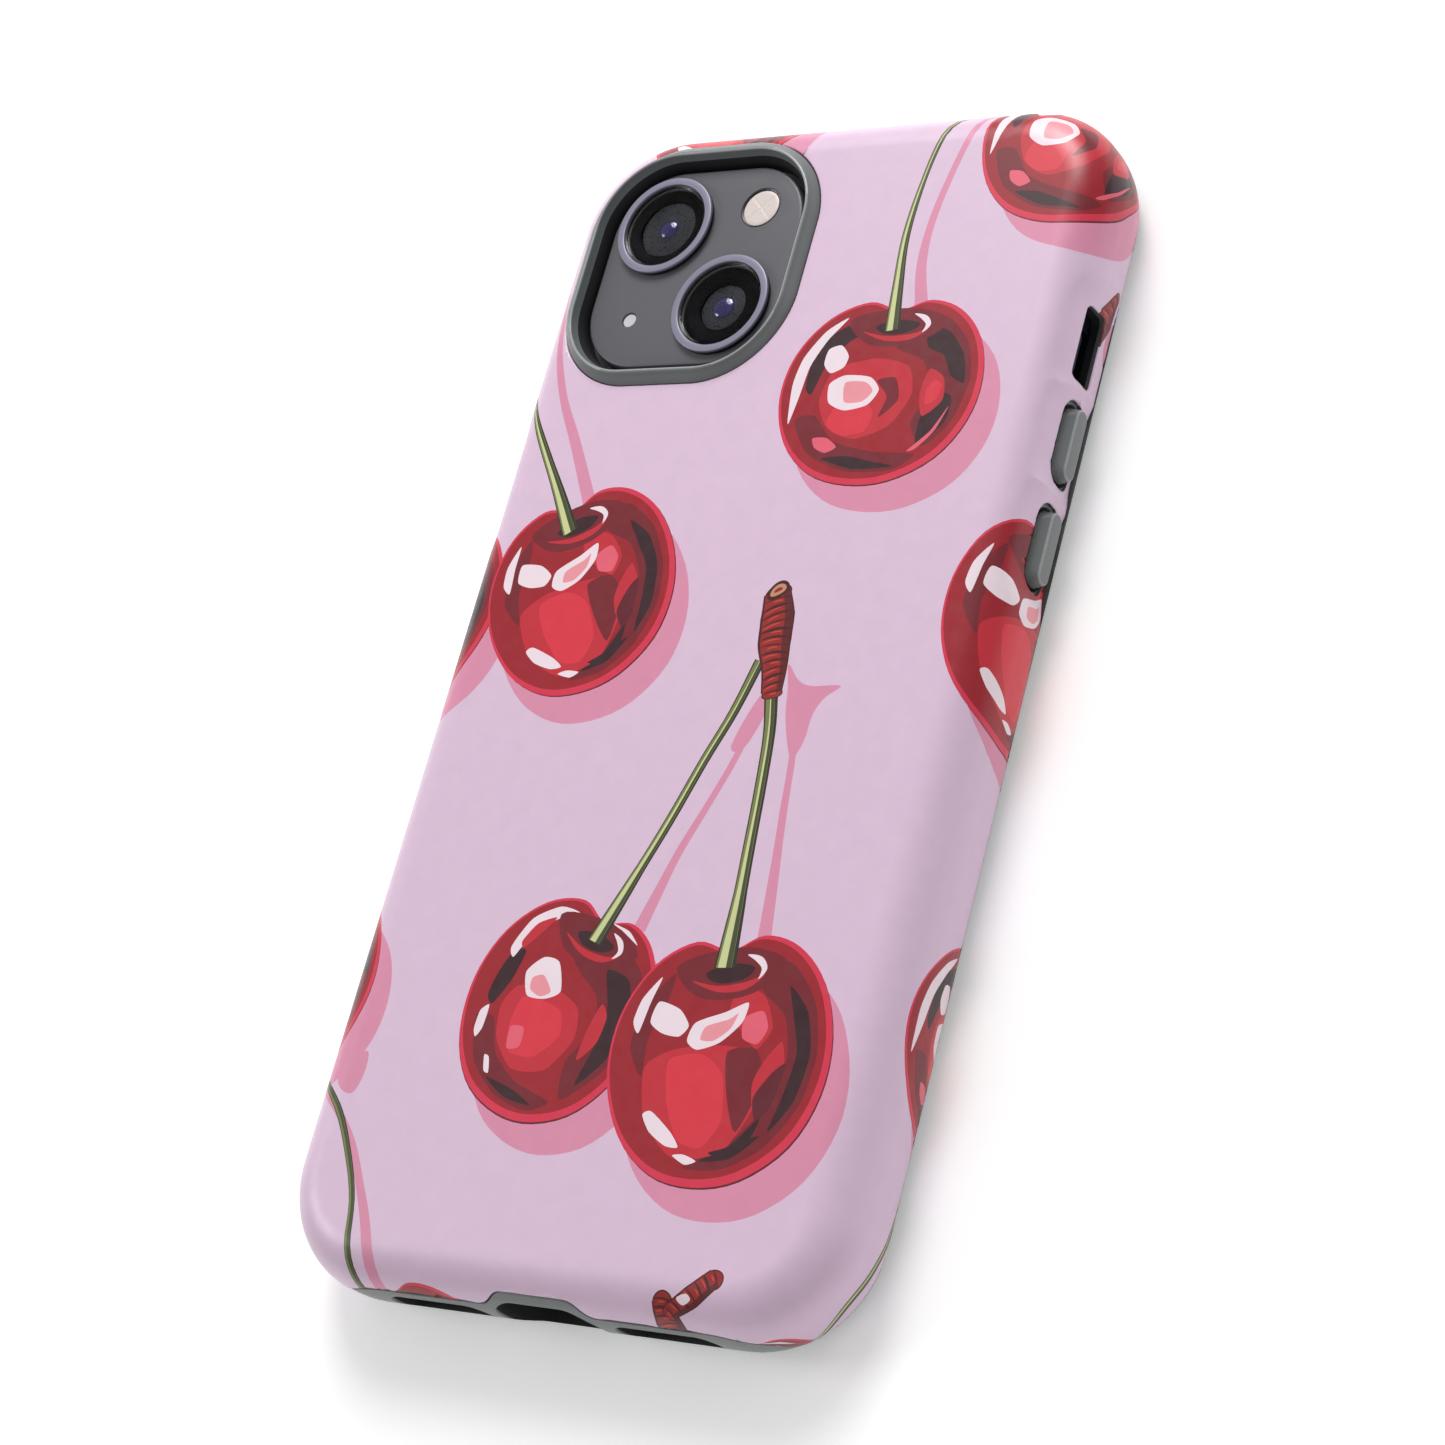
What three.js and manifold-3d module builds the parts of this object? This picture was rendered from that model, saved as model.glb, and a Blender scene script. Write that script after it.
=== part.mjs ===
// Two-layer protective case for a mobile phone, with the phone inside it.
// Millimetres, +Z up. The case lies on its front lip with its back up, the phone's top end
// points along +Y, and the origin is under the middle of the case, on the resting plane.
import * as THREE from 'three';
import { mergeVertices } from 'three/addons/utils/BufferGeometryUtils.js';
import Module from 'manifold-3d';

const wasm = await Module();
wasm.setup();

// ---- Driving dimensions -------------------------------------------------------------------

// Phone
const PHONE_WIDTH = 71.5;
const PHONE_LENGTH = 146.7;
const PHONE_THICKNESS = 7.8;
const PHONE_CORNER = 11.25;
const PHONE_EDGE = 0.9;
const FRAME_WALL = 2.2;
const GLASS_THICKNESS = 0.7;
const PANEL_THICKNESS = 0.9;
const MIDPLATE_THICKNESS = 0.55;

// Case walls and clearances
const FIT_GAP = 0.15;
const LINER_WALL = 1.2;
const LINER_BACK = 1.5;
const LAYER_GAP = 0.1;
const SHELL_WALL = 1.2;
const SHELL_BACK = 1.5;
const END_EXTRA = 0.2;
const PART_GAP = 0.3;

// Case edges
const CROWN_RADIUS = 5.6;
const FOOT_INSET = 3.1;
const FOOT_RISE_WANTED = 5.65;
const SHELL_EDGE = 1.5;
const LIP_RISE = 1.2;
const LIP_OVERLAP = 1.55;

// Camera plateau, its surround and its lenses
const CAMERA_FROM_SIDE = 17.95;
const CAMERA_FROM_TOP = 17.6;
const PLATEAU_WIDTH = 28.1;
const PLATEAU_CORNER = 8.8;
const PLATEAU_RISE = 2.33;
const PLATEAU_EDGE = 0.45;
const PLATEAU_SKIN = 0.8;
const RIM_GAP = 0.55;
const RIM_WALL = 2.3;
const RIM_RISE = 1.12;
const RIM_TAPER = 0.95;
const RIM_DRAFT = 0.7;
const RIM_CORNER = 12.3;
const LENS_SPREAD = 5.94;
const LENS_RING_RADIUS = 6.86;
const LENS_RING_WIDTH = 1.0;
const LENS_RING_RISE = 0.87;
const LENS_COVER_DEPTH = 0.15;
const LENS_COVER_THICKNESS = 0.5;
const FLASH_RADIUS = 2.7;
const REAR_MIC_RADIUS = 1.0;

// Keys on the two long sides, by the distance of each middle from the phone's top end
const VOLUME_UP_FROM_TOP = 41.05;
const VOLUME_PITCH = 13.3;
const VOLUME_KEY_LENGTH = 8.4;
const SIDE_KEY_FROM_TOP = 47.7;
const SIDE_KEY_LENGTH = 14.2;
const KEY_HEIGHT = 2.0;
const KEY_TRAVEL = 0.3;
const KEY_PROUD = 0.3;
const COVER_MARGIN = 0.6;
const COVER_BASE_HEIGHT = 4.6;
const COVER_FACE_HEIGHT = 2.2;
const COVER_PROUD = 0.2;
const SHELL_HOLE_MARGIN = 1.2;

// Ringer switch and its slot
const RINGER_FROM_TOP = 28.8;
const RINGER_LENGTH = 5.4;
const RINGER_HEIGHT = 2.1;
const RINGER_TRAVEL = 1.2;
const RINGER_SLOT_LENGTH = 9.5;
const RINGER_SLOT_HEIGHT = 4.5;
const RINGER_SLOT_LIFT = 1.05;

// Openings in the bottom end
const PORT_WIDTH = 13.6;
const PORT_LOW = 1.6;
const PORT_CORNER = 3.6;
const PORT_BELOW_TOP = 3.0;
const SLOT_INNER = 9.0;
const SLOT_OUTER = 22.2;
const SLOT_HEIGHT = 4.4;
const CUTOUT_BELOW_TOP = 3.7;
const CUTOUT_STRAIGHT = 22.0;
const CUTOUT_REACH = 31.5;
const ARCH_BELOW_TOP = 1.8;
const ARCH_FLAT = 4.2;
const ARCH_REACH = 8.4;
const RECEPTACLE_WIDTH = 9.0;
const RECEPTACLE_HEIGHT = 2.8;
const RECEPTACLE_DEPTH = 7.0;
const SOUND_HOLE_RADIUS = 0.75;
const SOUND_HOLE_PITCH = 2.1;
const SOUND_HOLES = 5;
const END_SCREW_RADIUS = 0.75;
const END_SCREW_SPREAD = 5.9;

// Pieces in the bay behind the display
const TRAY_BELOW_KEY = 9;
const TRAY_LENGTH = 15;
const TRAY_HEIGHT = 1.5;
const TRAY_DEPTH = 12;
const BAY_SPLIT = -3.75;
const CAMERA_HOUSING = 11.4;
const BOTTOM_ZONE = 27;
const HAPTIC_LENGTH = 18;
const TOP_ZONE = 17;

// ---- Places that follow from them -----------------------------------------------------------

const SIDE_STACK = FIT_GAP + LINER_WALL + LAYER_GAP + SHELL_WALL;
const CASE_WIDTH = PHONE_WIDTH + 2 * SIDE_STACK;
const CASE_LENGTH = PHONE_LENGTH + 2 * (SIDE_STACK + END_EXTRA);
const CASE_CORNER = PHONE_CORNER + SIDE_STACK;
const SEAT_GAP = LAYER_GAP;
const PHONE_FRONT = LIP_RISE + SEAT_GAP;
const PHONE_BACK = PHONE_FRONT + PHONE_THICKNESS;
const PHONE_MIDDLE = PHONE_FRONT + PHONE_THICKNESS / 2;
const LINER_TOP = PHONE_BACK + SEAT_GAP + LINER_BACK;
const CASE_TOP = LINER_TOP + LAYER_GAP + SHELL_BACK;
const LINER_OFFSET = SHELL_WALL + LAYER_GAP;
const FOOT_RISE = Math.min(FOOT_RISE_WANTED, CASE_TOP - CROWN_RADIUS - 0.3);

const PHONE_SIDE = PHONE_WIDTH / 2;
const PHONE_END = PHONE_LENGTH / 2;
const CASE_SIDE = CASE_WIDTH / 2;
const CASE_END = CASE_LENGTH / 2;
const COVER_FACE = CASE_SIDE + COVER_PROUD;

const CAMERA_X = CAMERA_FROM_SIDE - PHONE_SIDE;
const CAMERA_Y = PHONE_END - CAMERA_FROM_TOP;
const PLATEAU_TOP = PHONE_BACK + PLATEAU_RISE;
const RIM_TOP = CASE_TOP + RIM_RISE;
const LENS_TOP = PLATEAU_TOP + LENS_RING_RISE;
const LENS_BORE = LENS_RING_RADIUS - LENS_RING_WIDTH;
const LENSES = [
  { x: CAMERA_X - LENS_SPREAD, y: CAMERA_Y + LENS_SPREAD },
  { x: CAMERA_X + LENS_SPREAD, y: CAMERA_Y - LENS_SPREAD },
];
const FLASH = { x: CAMERA_X + 7.5, y: CAMERA_Y + 8.0 };
const REAR_MIC = { x: CAMERA_X - 7.7, y: CAMERA_Y - 7.2 };

const VOLUME_UP_Y = PHONE_END - VOLUME_UP_FROM_TOP;
const VOLUME_DOWN_Y = VOLUME_UP_Y - VOLUME_PITCH;
const SIDE_KEY_Y = PHONE_END - SIDE_KEY_FROM_TOP;
const RINGER_Y = PHONE_END - RINGER_FROM_TOP;
const RINGER_Z = PHONE_MIDDLE + RINGER_TRAVEL / 2;
const KEYS = [
  { name: 'volume_up', side: 1, y: VOLUME_UP_Y, length: VOLUME_KEY_LENGTH },
  { name: 'volume_down', side: 1, y: VOLUME_DOWN_Y, length: VOLUME_KEY_LENGTH },
  { name: 'side_key', side: -1, y: SIDE_KEY_Y, length: SIDE_KEY_LENGTH },
];

const INNER_SIDE = PHONE_SIDE - FRAME_WALL;
const INNER_END = PHONE_END - FRAME_WALL;
const PANEL_BACK = PHONE_FRONT + GLASS_THICKNESS + PANEL_THICKNESS;
const MIDPLATE_FRONT = PANEL_BACK + FIT_GAP;
const MIDPLATE_BACK = MIDPLATE_FRONT + MIDPLATE_THICKNESS;
const BACK_GLASS_FRONT = PHONE_BACK - GLASS_THICKNESS;
const BAY_FLOOR = MIDPLATE_BACK + FIT_GAP;
const PORT_Z = BAY_FLOOR + 0.05 + RECEPTACLE_HEIGHT / 2;
const TRAY_Z = PHONE_MIDDLE + 0.6;
const TRAY_Y = SIDE_KEY_Y - (SIDE_KEY_LENGTH + TRAY_LENGTH) / 2 - TRAY_BELOW_KEY;
const CORNER_STEPS = 5;
const FILLET_STEPS = 3;
const ROUND_SIDES = 24;

// ---- Finishes ---------------------------------------------------------------------------------

const finish = (color, roughness, metalness = 0) =>
  () => new THREE.MeshStandardMaterial({ color, roughness, metalness });
const PRINTED = finish(0xdcc6da, 0.35);
const SOFT_GREY = finish(0x5f6263, 0.6);
const ANODISED = finish(0x4a4d55, 0.35, 0.9);
const RING_METAL = finish(0x9492a5, 0.3, 0.9);
const MATTE_GLASS = finish(0x68686c, 0.45);
const DARK_GLASS = finish(0x0b0b10, 0.08);
const BLACK_PLASTIC = finish(0x1a1a1c, 0.5);
const FLASH_LENS = finish(0xe6dad4, 0.25);
const STEEL = finish(0xb5b7ba, 0.3, 1);
const BOARD = finish(0x20382c, 0.6);
const CELL = finish(0x2b2b2d, 0.5);
const COPPER = finish(0xb46a3c, 0.35, 1);

// ---- Solids -----------------------------------------------------------------------------------

function toSolid(geometry) {
  const bare = geometry.clone();
  bare.deleteAttribute('normal');
  bare.deleteAttribute('uv');
  const merged = mergeVertices(bare, 1e-4);
  return new wasm.Manifold(new wasm.Mesh({
    numProp: 3,
    vertProperties: Float32Array.from(merged.attributes.position.array),
    triVerts: Uint32Array.from(merged.index.array),
  }));
}

function toGeometry(solid) {
  const mesh = solid.getMesh();
  const geometry = new THREE.BufferGeometry();
  geometry.setAttribute('position', new THREE.BufferAttribute(mesh.vertProperties, 3));
  geometry.setIndex(new THREE.BufferAttribute(mesh.triVerts, 1));
  geometry.computeVertexNormals();
  return geometry;
}

function outlinePoints(width, length, corner) {
  const radius = Math.max(corner, 0.05);
  const points = [];
  for (let quadrant = 0; quadrant < 4; quadrant += 1) {
    const signX = quadrant === 0 || quadrant === 3 ? 1 : -1;
    const signY = quadrant < 2 ? 1 : -1;
    for (let step = 0; step <= CORNER_STEPS; step += 1) {
      const angle = (Math.PI / 2) * (quadrant + step / CORNER_STEPS);
      points.push([
        signX * (width / 2 - radius) + radius * Math.cos(angle),
        signY * (length / 2 - radius) + radius * Math.sin(angle),
      ]);
    }
  }
  return points;
}

// A closed solid through rounded rectangles, one for each layer { z, width, length, corner }.
function loft(layers) {
  const rings = layers.map((layer) => outlinePoints(layer.width, layer.length, layer.corner));
  const count = rings[0].length;
  const positions = [];
  rings.forEach((ring, index) => {
    ring.forEach(([x, y]) => positions.push(x, y, layers[index].z));
  });
  const low = positions.length / 3;
  positions.push(0, 0, layers[0].z, 0, 0, layers[layers.length - 1].z);
  const faces = [];
  const last = (rings.length - 1) * count;
  for (let i = 0; i < count; i += 1) {
    const j = (i + 1) % count;
    faces.push(low, j, i, low + 1, last + i, last + j);
    for (let base = 0; base < last; base += count) {
      faces.push(base + i, base + j, base + count + j, base + i, base + count + j, base + count + i);
    }
  }
  const geometry = new THREE.BufferGeometry();
  geometry.setAttribute('position', new THREE.Float32BufferAttribute(positions, 3));
  geometry.setIndex(faces);
  return geometry;
}

const slabLayer = (z, width, length, corner, inset = 0) =>
  ({ z, width: width - 2 * inset, length: length - 2 * inset, corner: corner - inset });

function roundedBlock(width, length, corner, low, high) {
  return loft([slabLayer(low, width, length, corner), slabLayer(high, width, length, corner)]);
}

// A block with its four long edges and its ends broken by a small round.
function softBlock(width, length, corner, low, high, edge) {
  const half = edge * 0.3;
  return loft([
    slabLayer(low, width, length, corner, edge),
    slabLayer(low + half, width, length, corner, half),
    slabLayer(low + edge, width, length, corner),
    slabLayer(high - edge, width, length, corner),
    slabLayer(high - half, width, length, corner, half),
    slabLayer(high, width, length, corner, edge),
  ]);
}

// The case's rounded outside, drawn in by side on its walls and by back under its top.
function caseBody(side, back, low = 0) {
  const layers = [];
  for (let step = FILLET_STEPS; step >= 0; step -= 1) {
    const angle = (Math.PI / 2) * (step / FILLET_STEPS);
    const inset = side + (FOOT_INSET - side * (FOOT_INSET / FOOT_RISE)) * (1 - Math.cos(angle));
    const z = FOOT_RISE - (FOOT_RISE - low) * Math.sin(angle);
    layers.push(slabLayer(z, CASE_WIDTH, CASE_LENGTH, CASE_CORNER, inset));
  }
  for (let step = 0; step <= FILLET_STEPS; step += 1) {
    const angle = (Math.PI / 2) * (step / FILLET_STEPS);
    const inset = side + (CROWN_RADIUS - side) * (1 - Math.cos(angle));
    const z = CASE_TOP - CROWN_RADIUS + (CROWN_RADIUS - back) * Math.sin(angle);
    layers.push(slabLayer(z, CASE_WIDTH, CASE_LENGTH, CASE_CORNER, inset));
  }
  return loft(layers);
}

const place = (geometry, x, y, z) => geometry.translate(x, y, z);

// Turns a geometry drawn with its length along Y and its depth along Z to point out of a side.
function outOfSide(geometry, side, x, y, z) {
  return geometry.rotateY((side * Math.PI) / 2).translate(side * x, y, z);
}

// Turns a geometry drawn in X and Y and raised along Z to point out of the bottom end.
function outOfBottom(geometry, x, y, z) {
  return geometry.rotateX(Math.PI / 2).translate(x, y, z);
}

function disc(radius, low, high, sides = ROUND_SIDES) {
  return new THREE.CylinderGeometry(radius, radius, high - low, sides)
    .rotateX(Math.PI / 2)
    .translate(0, 0, (low + high) / 2);
}

// A solid of revolution about Z from [radius, z] pairs that go round its section.
function turned(section) {
  const points = section.map(([radius, z]) => new THREE.Vector2(radius, z));
  return new THREE.LatheGeometry(points, ROUND_SIDES).rotateX(Math.PI / 2);
}

function ring(inner, outer, low, high) {
  return turned([[inner, low], [outer, low], [outer, high], [inner, high], [inner, low]]);
}

function cutAll(body, cutters) {
  return cutters.reduce((rest, cutter) => rest.subtract(toSolid(cutter)), toSolid(body));
}

// ---- Shapes that several pieces share -----------------------------------------------------------

// The part of the bottom end that the hard shell leaves bare, seen from the end, grown by margin.
function bottomCutout(margin) {
  const shape = new THREE.Shape();
  const low = -2;
  const top = CASE_TOP - CUTOUT_BELOW_TOP + margin;
  const straight = CUTOUT_STRAIGHT;
  const reach = CUTOUT_REACH + margin;
  const arch = CASE_TOP - ARCH_BELOW_TOP + margin;
  const bend = (ARCH_REACH - ARCH_FLAT) / 2;
  shape.moveTo(-reach, low);
  shape.lineTo(reach, low);
  shape.bezierCurveTo(reach - 1, top * 0.75, straight + 5, top, straight, top);
  shape.lineTo(ARCH_REACH + margin, top);
  shape.bezierCurveTo(ARCH_REACH + margin - bend, top, ARCH_FLAT + margin + bend, arch,
    ARCH_FLAT + margin, arch);
  shape.lineTo(-ARCH_FLAT - margin, arch);
  shape.bezierCurveTo(-ARCH_FLAT - margin - bend, arch, -ARCH_REACH - margin + bend, top,
    -ARCH_REACH - margin, top);
  shape.lineTo(-straight, top);
  shape.bezierCurveTo(-straight - 5, top, -reach + 1, top * 0.75, -reach, low);
  const depth = CASE_CORNER;
  const geometry = new THREE.ExtrudeGeometry(shape, {
    depth, bevelEnabled: false, curveSegments: 6,
  });
  return outOfBottom(geometry, 0, -CASE_END + depth - 1, 0);
}

// Stadium-ended hole through the bottom wall, from x low to x high.
function bottomHole(lowX, highX, lowZ, highZ, corner, depth) {
  const block = roundedBlock(highX - lowX, highZ - lowZ, corner, 0, depth);
  return outOfBottom(block, (lowX + highX) / 2, -CASE_END + depth - 1, (lowZ + highZ) / 2);
}

function soundSlots() {
  const depth = SIDE_STACK + END_EXTRA + 1.1;
  const low = PHONE_MIDDLE - SLOT_HEIGHT / 2;
  const high = PHONE_MIDDLE + SLOT_HEIGHT / 2;
  const corner = SLOT_HEIGHT / 2 - 0.05;
  return [
    bottomHole(-SLOT_OUTER, -SLOT_INNER, low, high, corner, depth),
    bottomHole(SLOT_INNER, SLOT_OUTER, low, high, corner, depth),
    bottomHole(-PORT_WIDTH / 2, PORT_WIDTH / 2, PORT_LOW, CASE_TOP - PORT_BELOW_TOP, PORT_CORNER, depth),
  ];
}

function sideHole(side, y, z, height, length, corner, from, to) {
  return outOfSide(roundedBlock(height, length, corner, 0, to - from), side, from, y, z);
}

function ringerSlot(margin) {
  const height = RINGER_SLOT_HEIGHT + 2 * margin;
  const middle = PHONE_MIDDLE + RINGER_SLOT_LIFT;
  const length = RINGER_SLOT_LENGTH + 2 * margin;
  return sideHole(1, RINGER_Y, middle, height, length, 1, PHONE_SIDE, CASE_SIDE + 1);
}

function cameraLayer(z, inset, corner) {
  const width = PLATEAU_WIDTH + 2 * RIM_GAP + 2 * RIM_WALL - 2 * inset;
  return { z, width, length: width, corner };
}

// ---- Case ---------------------------------------------------------------------------------------

function outerShell() {
  const cavity = caseBody(SHELL_WALL, SHELL_BACK, -1);
  const skirt = roundedBlock(CASE_WIDTH + 4, CASE_LENGTH + 4, 1, -3, SHELL_EDGE);
  const window = loft([
    cameraLayer(LINER_TOP - 3, -LAYER_GAP, RIM_CORNER + LAYER_GAP),
    cameraLayer(CASE_TOP + 3, -LAYER_GAP, RIM_CORNER + LAYER_GAP),
  ]);
  const holes = KEYS.map(({ side, y, length }) => {
    const holeLength = length + 2 * (COVER_MARGIN + SHELL_HOLE_MARGIN / 2);
    const height = COVER_BASE_HEIGHT + SHELL_HOLE_MARGIN;
    return sideHole(side, y, PHONE_MIDDLE, height, holeLength, height / 2 - 0.1,
      PHONE_SIDE, CASE_SIDE + 1);
  });
  return cutAll(caseBody(0, 0), [
    cavity, skirt, place(window, CAMERA_X, CAMERA_Y, 0), ...holes, ringerSlot(0), bottomCutout(0),
  ]);
}

function phoneSpace() {
  const width = PHONE_WIDTH + 2 * FIT_GAP;
  const length = PHONE_LENGTH + 2 * FIT_GAP;
  return softBlock(width, length, PHONE_CORNER + FIT_GAP, LIP_RISE, PHONE_BACK + SEAT_GAP, PHONE_EDGE);
}

function innerLiner() {
  const body = toSolid(caseBody(LINER_OFFSET, SHELL_BACK + LAYER_GAP));
  const lipBlock = roundedBlock(CASE_WIDTH + 4, CASE_LENGTH + 4, 1, -1, SHELL_EDGE - LAYER_GAP);
  const lip = toSolid(caseBody(0, 0)).intersect(toSolid(lipBlock));
  const band = toSolid(caseBody(0, 0)).intersect(toSolid(bottomCutout(-LAYER_GAP)));
  const rim = place(loft([
    cameraLayer(PHONE_BACK + 0.5, 0, RIM_CORNER),
    cameraLayer(CASE_TOP, 0, RIM_CORNER),
    cameraLayer(RIM_TOP - 0.25, RIM_TAPER, RIM_CORNER - 1.5 * RIM_TAPER),
    cameraLayer(RIM_TOP, RIM_TAPER + 0.2, RIM_CORNER - 1.5 * RIM_TAPER - 0.3),
  ]), CAMERA_X, CAMERA_Y, 0);
  const window = place(loft([
    cameraLayer(PHONE_FRONT + 2, RIM_WALL, PLATEAU_CORNER + RIM_GAP),
    cameraLayer(PLATEAU_TOP, RIM_WALL, PLATEAU_CORNER + RIM_GAP),
    cameraLayer(RIM_TOP + 0.1, RIM_WALL - RIM_DRAFT, PLATEAU_CORNER + RIM_GAP + 0.6),
  ]), CAMERA_X, CAMERA_Y, 0);
  const face = roundedBlock(PHONE_WIDTH - 2 * LIP_OVERLAP, PHONE_LENGTH - 2 * LIP_OVERLAP,
    PHONE_CORNER - LIP_OVERLAP, -1, PHONE_FRONT + 1);
  const covers = KEYS.map(({ side, y, length }) => {
    const holeLength = length + 2 * (COVER_MARGIN + PART_GAP);
    const height = COVER_BASE_HEIGHT + 2 * PART_GAP;
    return sideHole(side, y, PHONE_MIDDLE, height, holeLength, height / 2 - 0.1,
      PHONE_SIDE - 1, CASE_SIDE + 1);
  });
  const whole = body.add(lip).add(band).add(toSolid(rim));
  return [phoneSpace(), window, face, ...covers, ringerSlot(0.2), ...soundSlots()]
    .reduce((rest, cutter) => rest.subtract(toSolid(cutter)), whole);
}

function keyCover({ side, y, length }) {
  const baseLength = length + 2 * COVER_MARGIN;
  const depth = COVER_FACE - PHONE_SIDE - KEY_PROUD - LAYER_GAP;
  const slope = depth - 1.5;
  const layer = (z, height, long) => ({ z, width: height, length: long, corner: height / 2 - 0.1 });
  const block = loft([
    layer(0, COVER_BASE_HEIGHT, baseLength),
    layer(slope, COVER_BASE_HEIGHT, baseLength),
    layer(depth - 0.2, COVER_FACE_HEIGHT + 0.2, baseLength - 0.6),
    layer(depth, COVER_FACE_HEIGHT - 0.3, baseLength - 1.1),
  ]);
  return outOfSide(block, side, COVER_FACE - depth, y, PHONE_MIDDLE);
}

// ---- Phone: frame, glass and keys -----------------------------------------------------------------

const KEY_DEPTH = 1.45;
const KEY_BACK = PHONE_SIDE - KEY_DEPTH;
const STEM_END = INNER_SIDE - 0.05;

function keyPocket({ side, y, length }) {
  const gap = FIT_GAP;
  const pocket = sideHole(side, y, PHONE_MIDDLE, KEY_HEIGHT + 2 * gap, length + 2 * gap, KEY_HEIGHT / 2,
    KEY_BACK - KEY_TRAVEL - 0.05, PHONE_SIDE + 1);
  const stem = sideHole(side, y, PHONE_MIDDLE, 1.2 + 2 * gap, 2 + 2 * gap, 0.3,
    INNER_SIDE - 1, PHONE_SIDE);
  return [pocket, stem];
}

function phoneKey({ side, y, length }) {
  const cap = sideHole(side, y, PHONE_MIDDLE, KEY_HEIGHT, length, KEY_HEIGHT / 2 - 0.05,
    KEY_BACK, PHONE_SIDE + KEY_PROUD);
  const stem = sideHole(side, y, PHONE_MIDDLE, 1.2, 2, 0.2, STEM_END, KEY_BACK + 0.2);
  return toSolid(cap).add(toSolid(stem));
}

function ringerPocket() {
  const gap = FIT_GAP;
  const height = RINGER_HEIGHT + RINGER_TRAVEL + 2 * gap;
  const middle = RINGER_Z - RINGER_TRAVEL / 2;
  return [
    sideHole(1, RINGER_Y, middle, height, RINGER_LENGTH + 2 * gap, 0.8, KEY_BACK - gap, PHONE_SIDE + 1),
    sideHole(1, RINGER_Y, middle, 1 + RINGER_TRAVEL + 2 * gap, 1.6 + 2 * gap, 0.3,
      INNER_SIDE - 1, PHONE_SIDE),
  ];
}

function ringerSwitch() {
  const plate = outOfSide(loft([
    slabLayer(0, RINGER_HEIGHT, RINGER_LENGTH, 0.7),
    slabLayer(KEY_DEPTH - 0.25, RINGER_HEIGHT, RINGER_LENGTH, 0.7),
    slabLayer(KEY_DEPTH - 0.05, RINGER_HEIGHT, RINGER_LENGTH, 0.7, 0.2),
  ]), 1, KEY_BACK, RINGER_Y, RINGER_Z);
  const stem = sideHole(1, RINGER_Y, RINGER_Z, 1, 1.6, 0.2, STEM_END, KEY_BACK + 0.2);
  return toSolid(plate).add(toSolid(stem));
}

function soundHoles(side) {
  const first = (SLOT_INNER + SLOT_OUTER) / 2 - ((SOUND_HOLES - 1) * SOUND_HOLE_PITCH) / 2;
  const holes = [];
  for (let index = 0; index < SOUND_HOLES; index += 1) {
    const x = side * (first + index * SOUND_HOLE_PITCH);
    const hole = disc(SOUND_HOLE_RADIUS, 0, FRAME_WALL + 2, 8);
    holes.push(outOfBottom(hole, x, -PHONE_END + FRAME_WALL + 1, PHONE_MIDDLE));
  }
  return holes;
}

function phoneFrame() {
  const low = PHONE_FRONT + GLASS_THICKNESS + 0.05;
  const high = BACK_GLASS_FRONT - 0.05;
  const outer = softBlock(PHONE_WIDTH, PHONE_LENGTH, PHONE_CORNER, low, high, 0.5);
  const inner = (from, to) => roundedBlock(2 * INNER_SIDE, 2 * INNER_END, PHONE_CORNER - FRAME_WALL,
    from, to);
  const receptacle = bottomHole(-RECEPTACLE_WIDTH / 2 - FIT_GAP, RECEPTACLE_WIDTH / 2 + FIT_GAP,
    PORT_Z - RECEPTACLE_HEIGHT / 2 - FIT_GAP, PORT_Z + RECEPTACLE_HEIGHT / 2 + FIT_GAP,
    RECEPTACLE_HEIGHT / 2, CASE_END - INNER_END + 2);
  const screws = [-1, 1].map((side) => outOfBottom(
    disc(END_SCREW_RADIUS + FIT_GAP, 0, FRAME_WALL + 2, 16),
    side * END_SCREW_SPREAD, -PHONE_END + FRAME_WALL + 1, PORT_Z));
  const tray = sideHole(-1, TRAY_Y, TRAY_Z, TRAY_HEIGHT + 2 * FIT_GAP,
    TRAY_LENGTH + 2 * FIT_GAP, 0.7, INNER_SIDE - 1, PHONE_SIDE + 1);
  return cutAll(outer, [
    inner(low - 1, MIDPLATE_FRONT), inner(MIDPLATE_BACK, high + 1), receptacle, tray, ...screws,
    ...soundHoles(-1), ...soundHoles(1), ...KEYS.flatMap(keyPocket), ...ringerPocket(),
  ]);
}

function displayGlass() {
  const width = PHONE_WIDTH - 0.4;
  const length = PHONE_LENGTH - 0.4;
  const glass = loft([
    slabLayer(PHONE_FRONT, width, length, PHONE_CORNER, 0.35),
    slabLayer(PHONE_FRONT + 0.3, width, length, PHONE_CORNER),
    slabLayer(PHONE_FRONT + GLASS_THICKNESS, width, length, PHONE_CORNER),
  ]);
  return cutAll(glass, [earpiece(0.1, PHONE_FRONT - 1, PHONE_FRONT + GLASS_THICKNESS + 1)]);
}

function earpiece(margin, low, high) {
  const slot = roundedBlock(13 + 2 * margin, 1 + 2 * margin, 0.5 + margin - 0.02, low, high);
  return place(slot, 0, PHONE_END - 2.3, 0);
}

function displayPanel() {
  return roundedBlock(2 * INNER_SIDE - 0.6, 2 * INNER_END - 4, PHONE_CORNER - FRAME_WALL,
    PHONE_FRONT + GLASS_THICKNESS + 0.02, PANEL_BACK);
}

function lensHole(lens, radius, low, high) {
  return place(disc(radius, low, high), lens.x, lens.y, 0);
}

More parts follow.
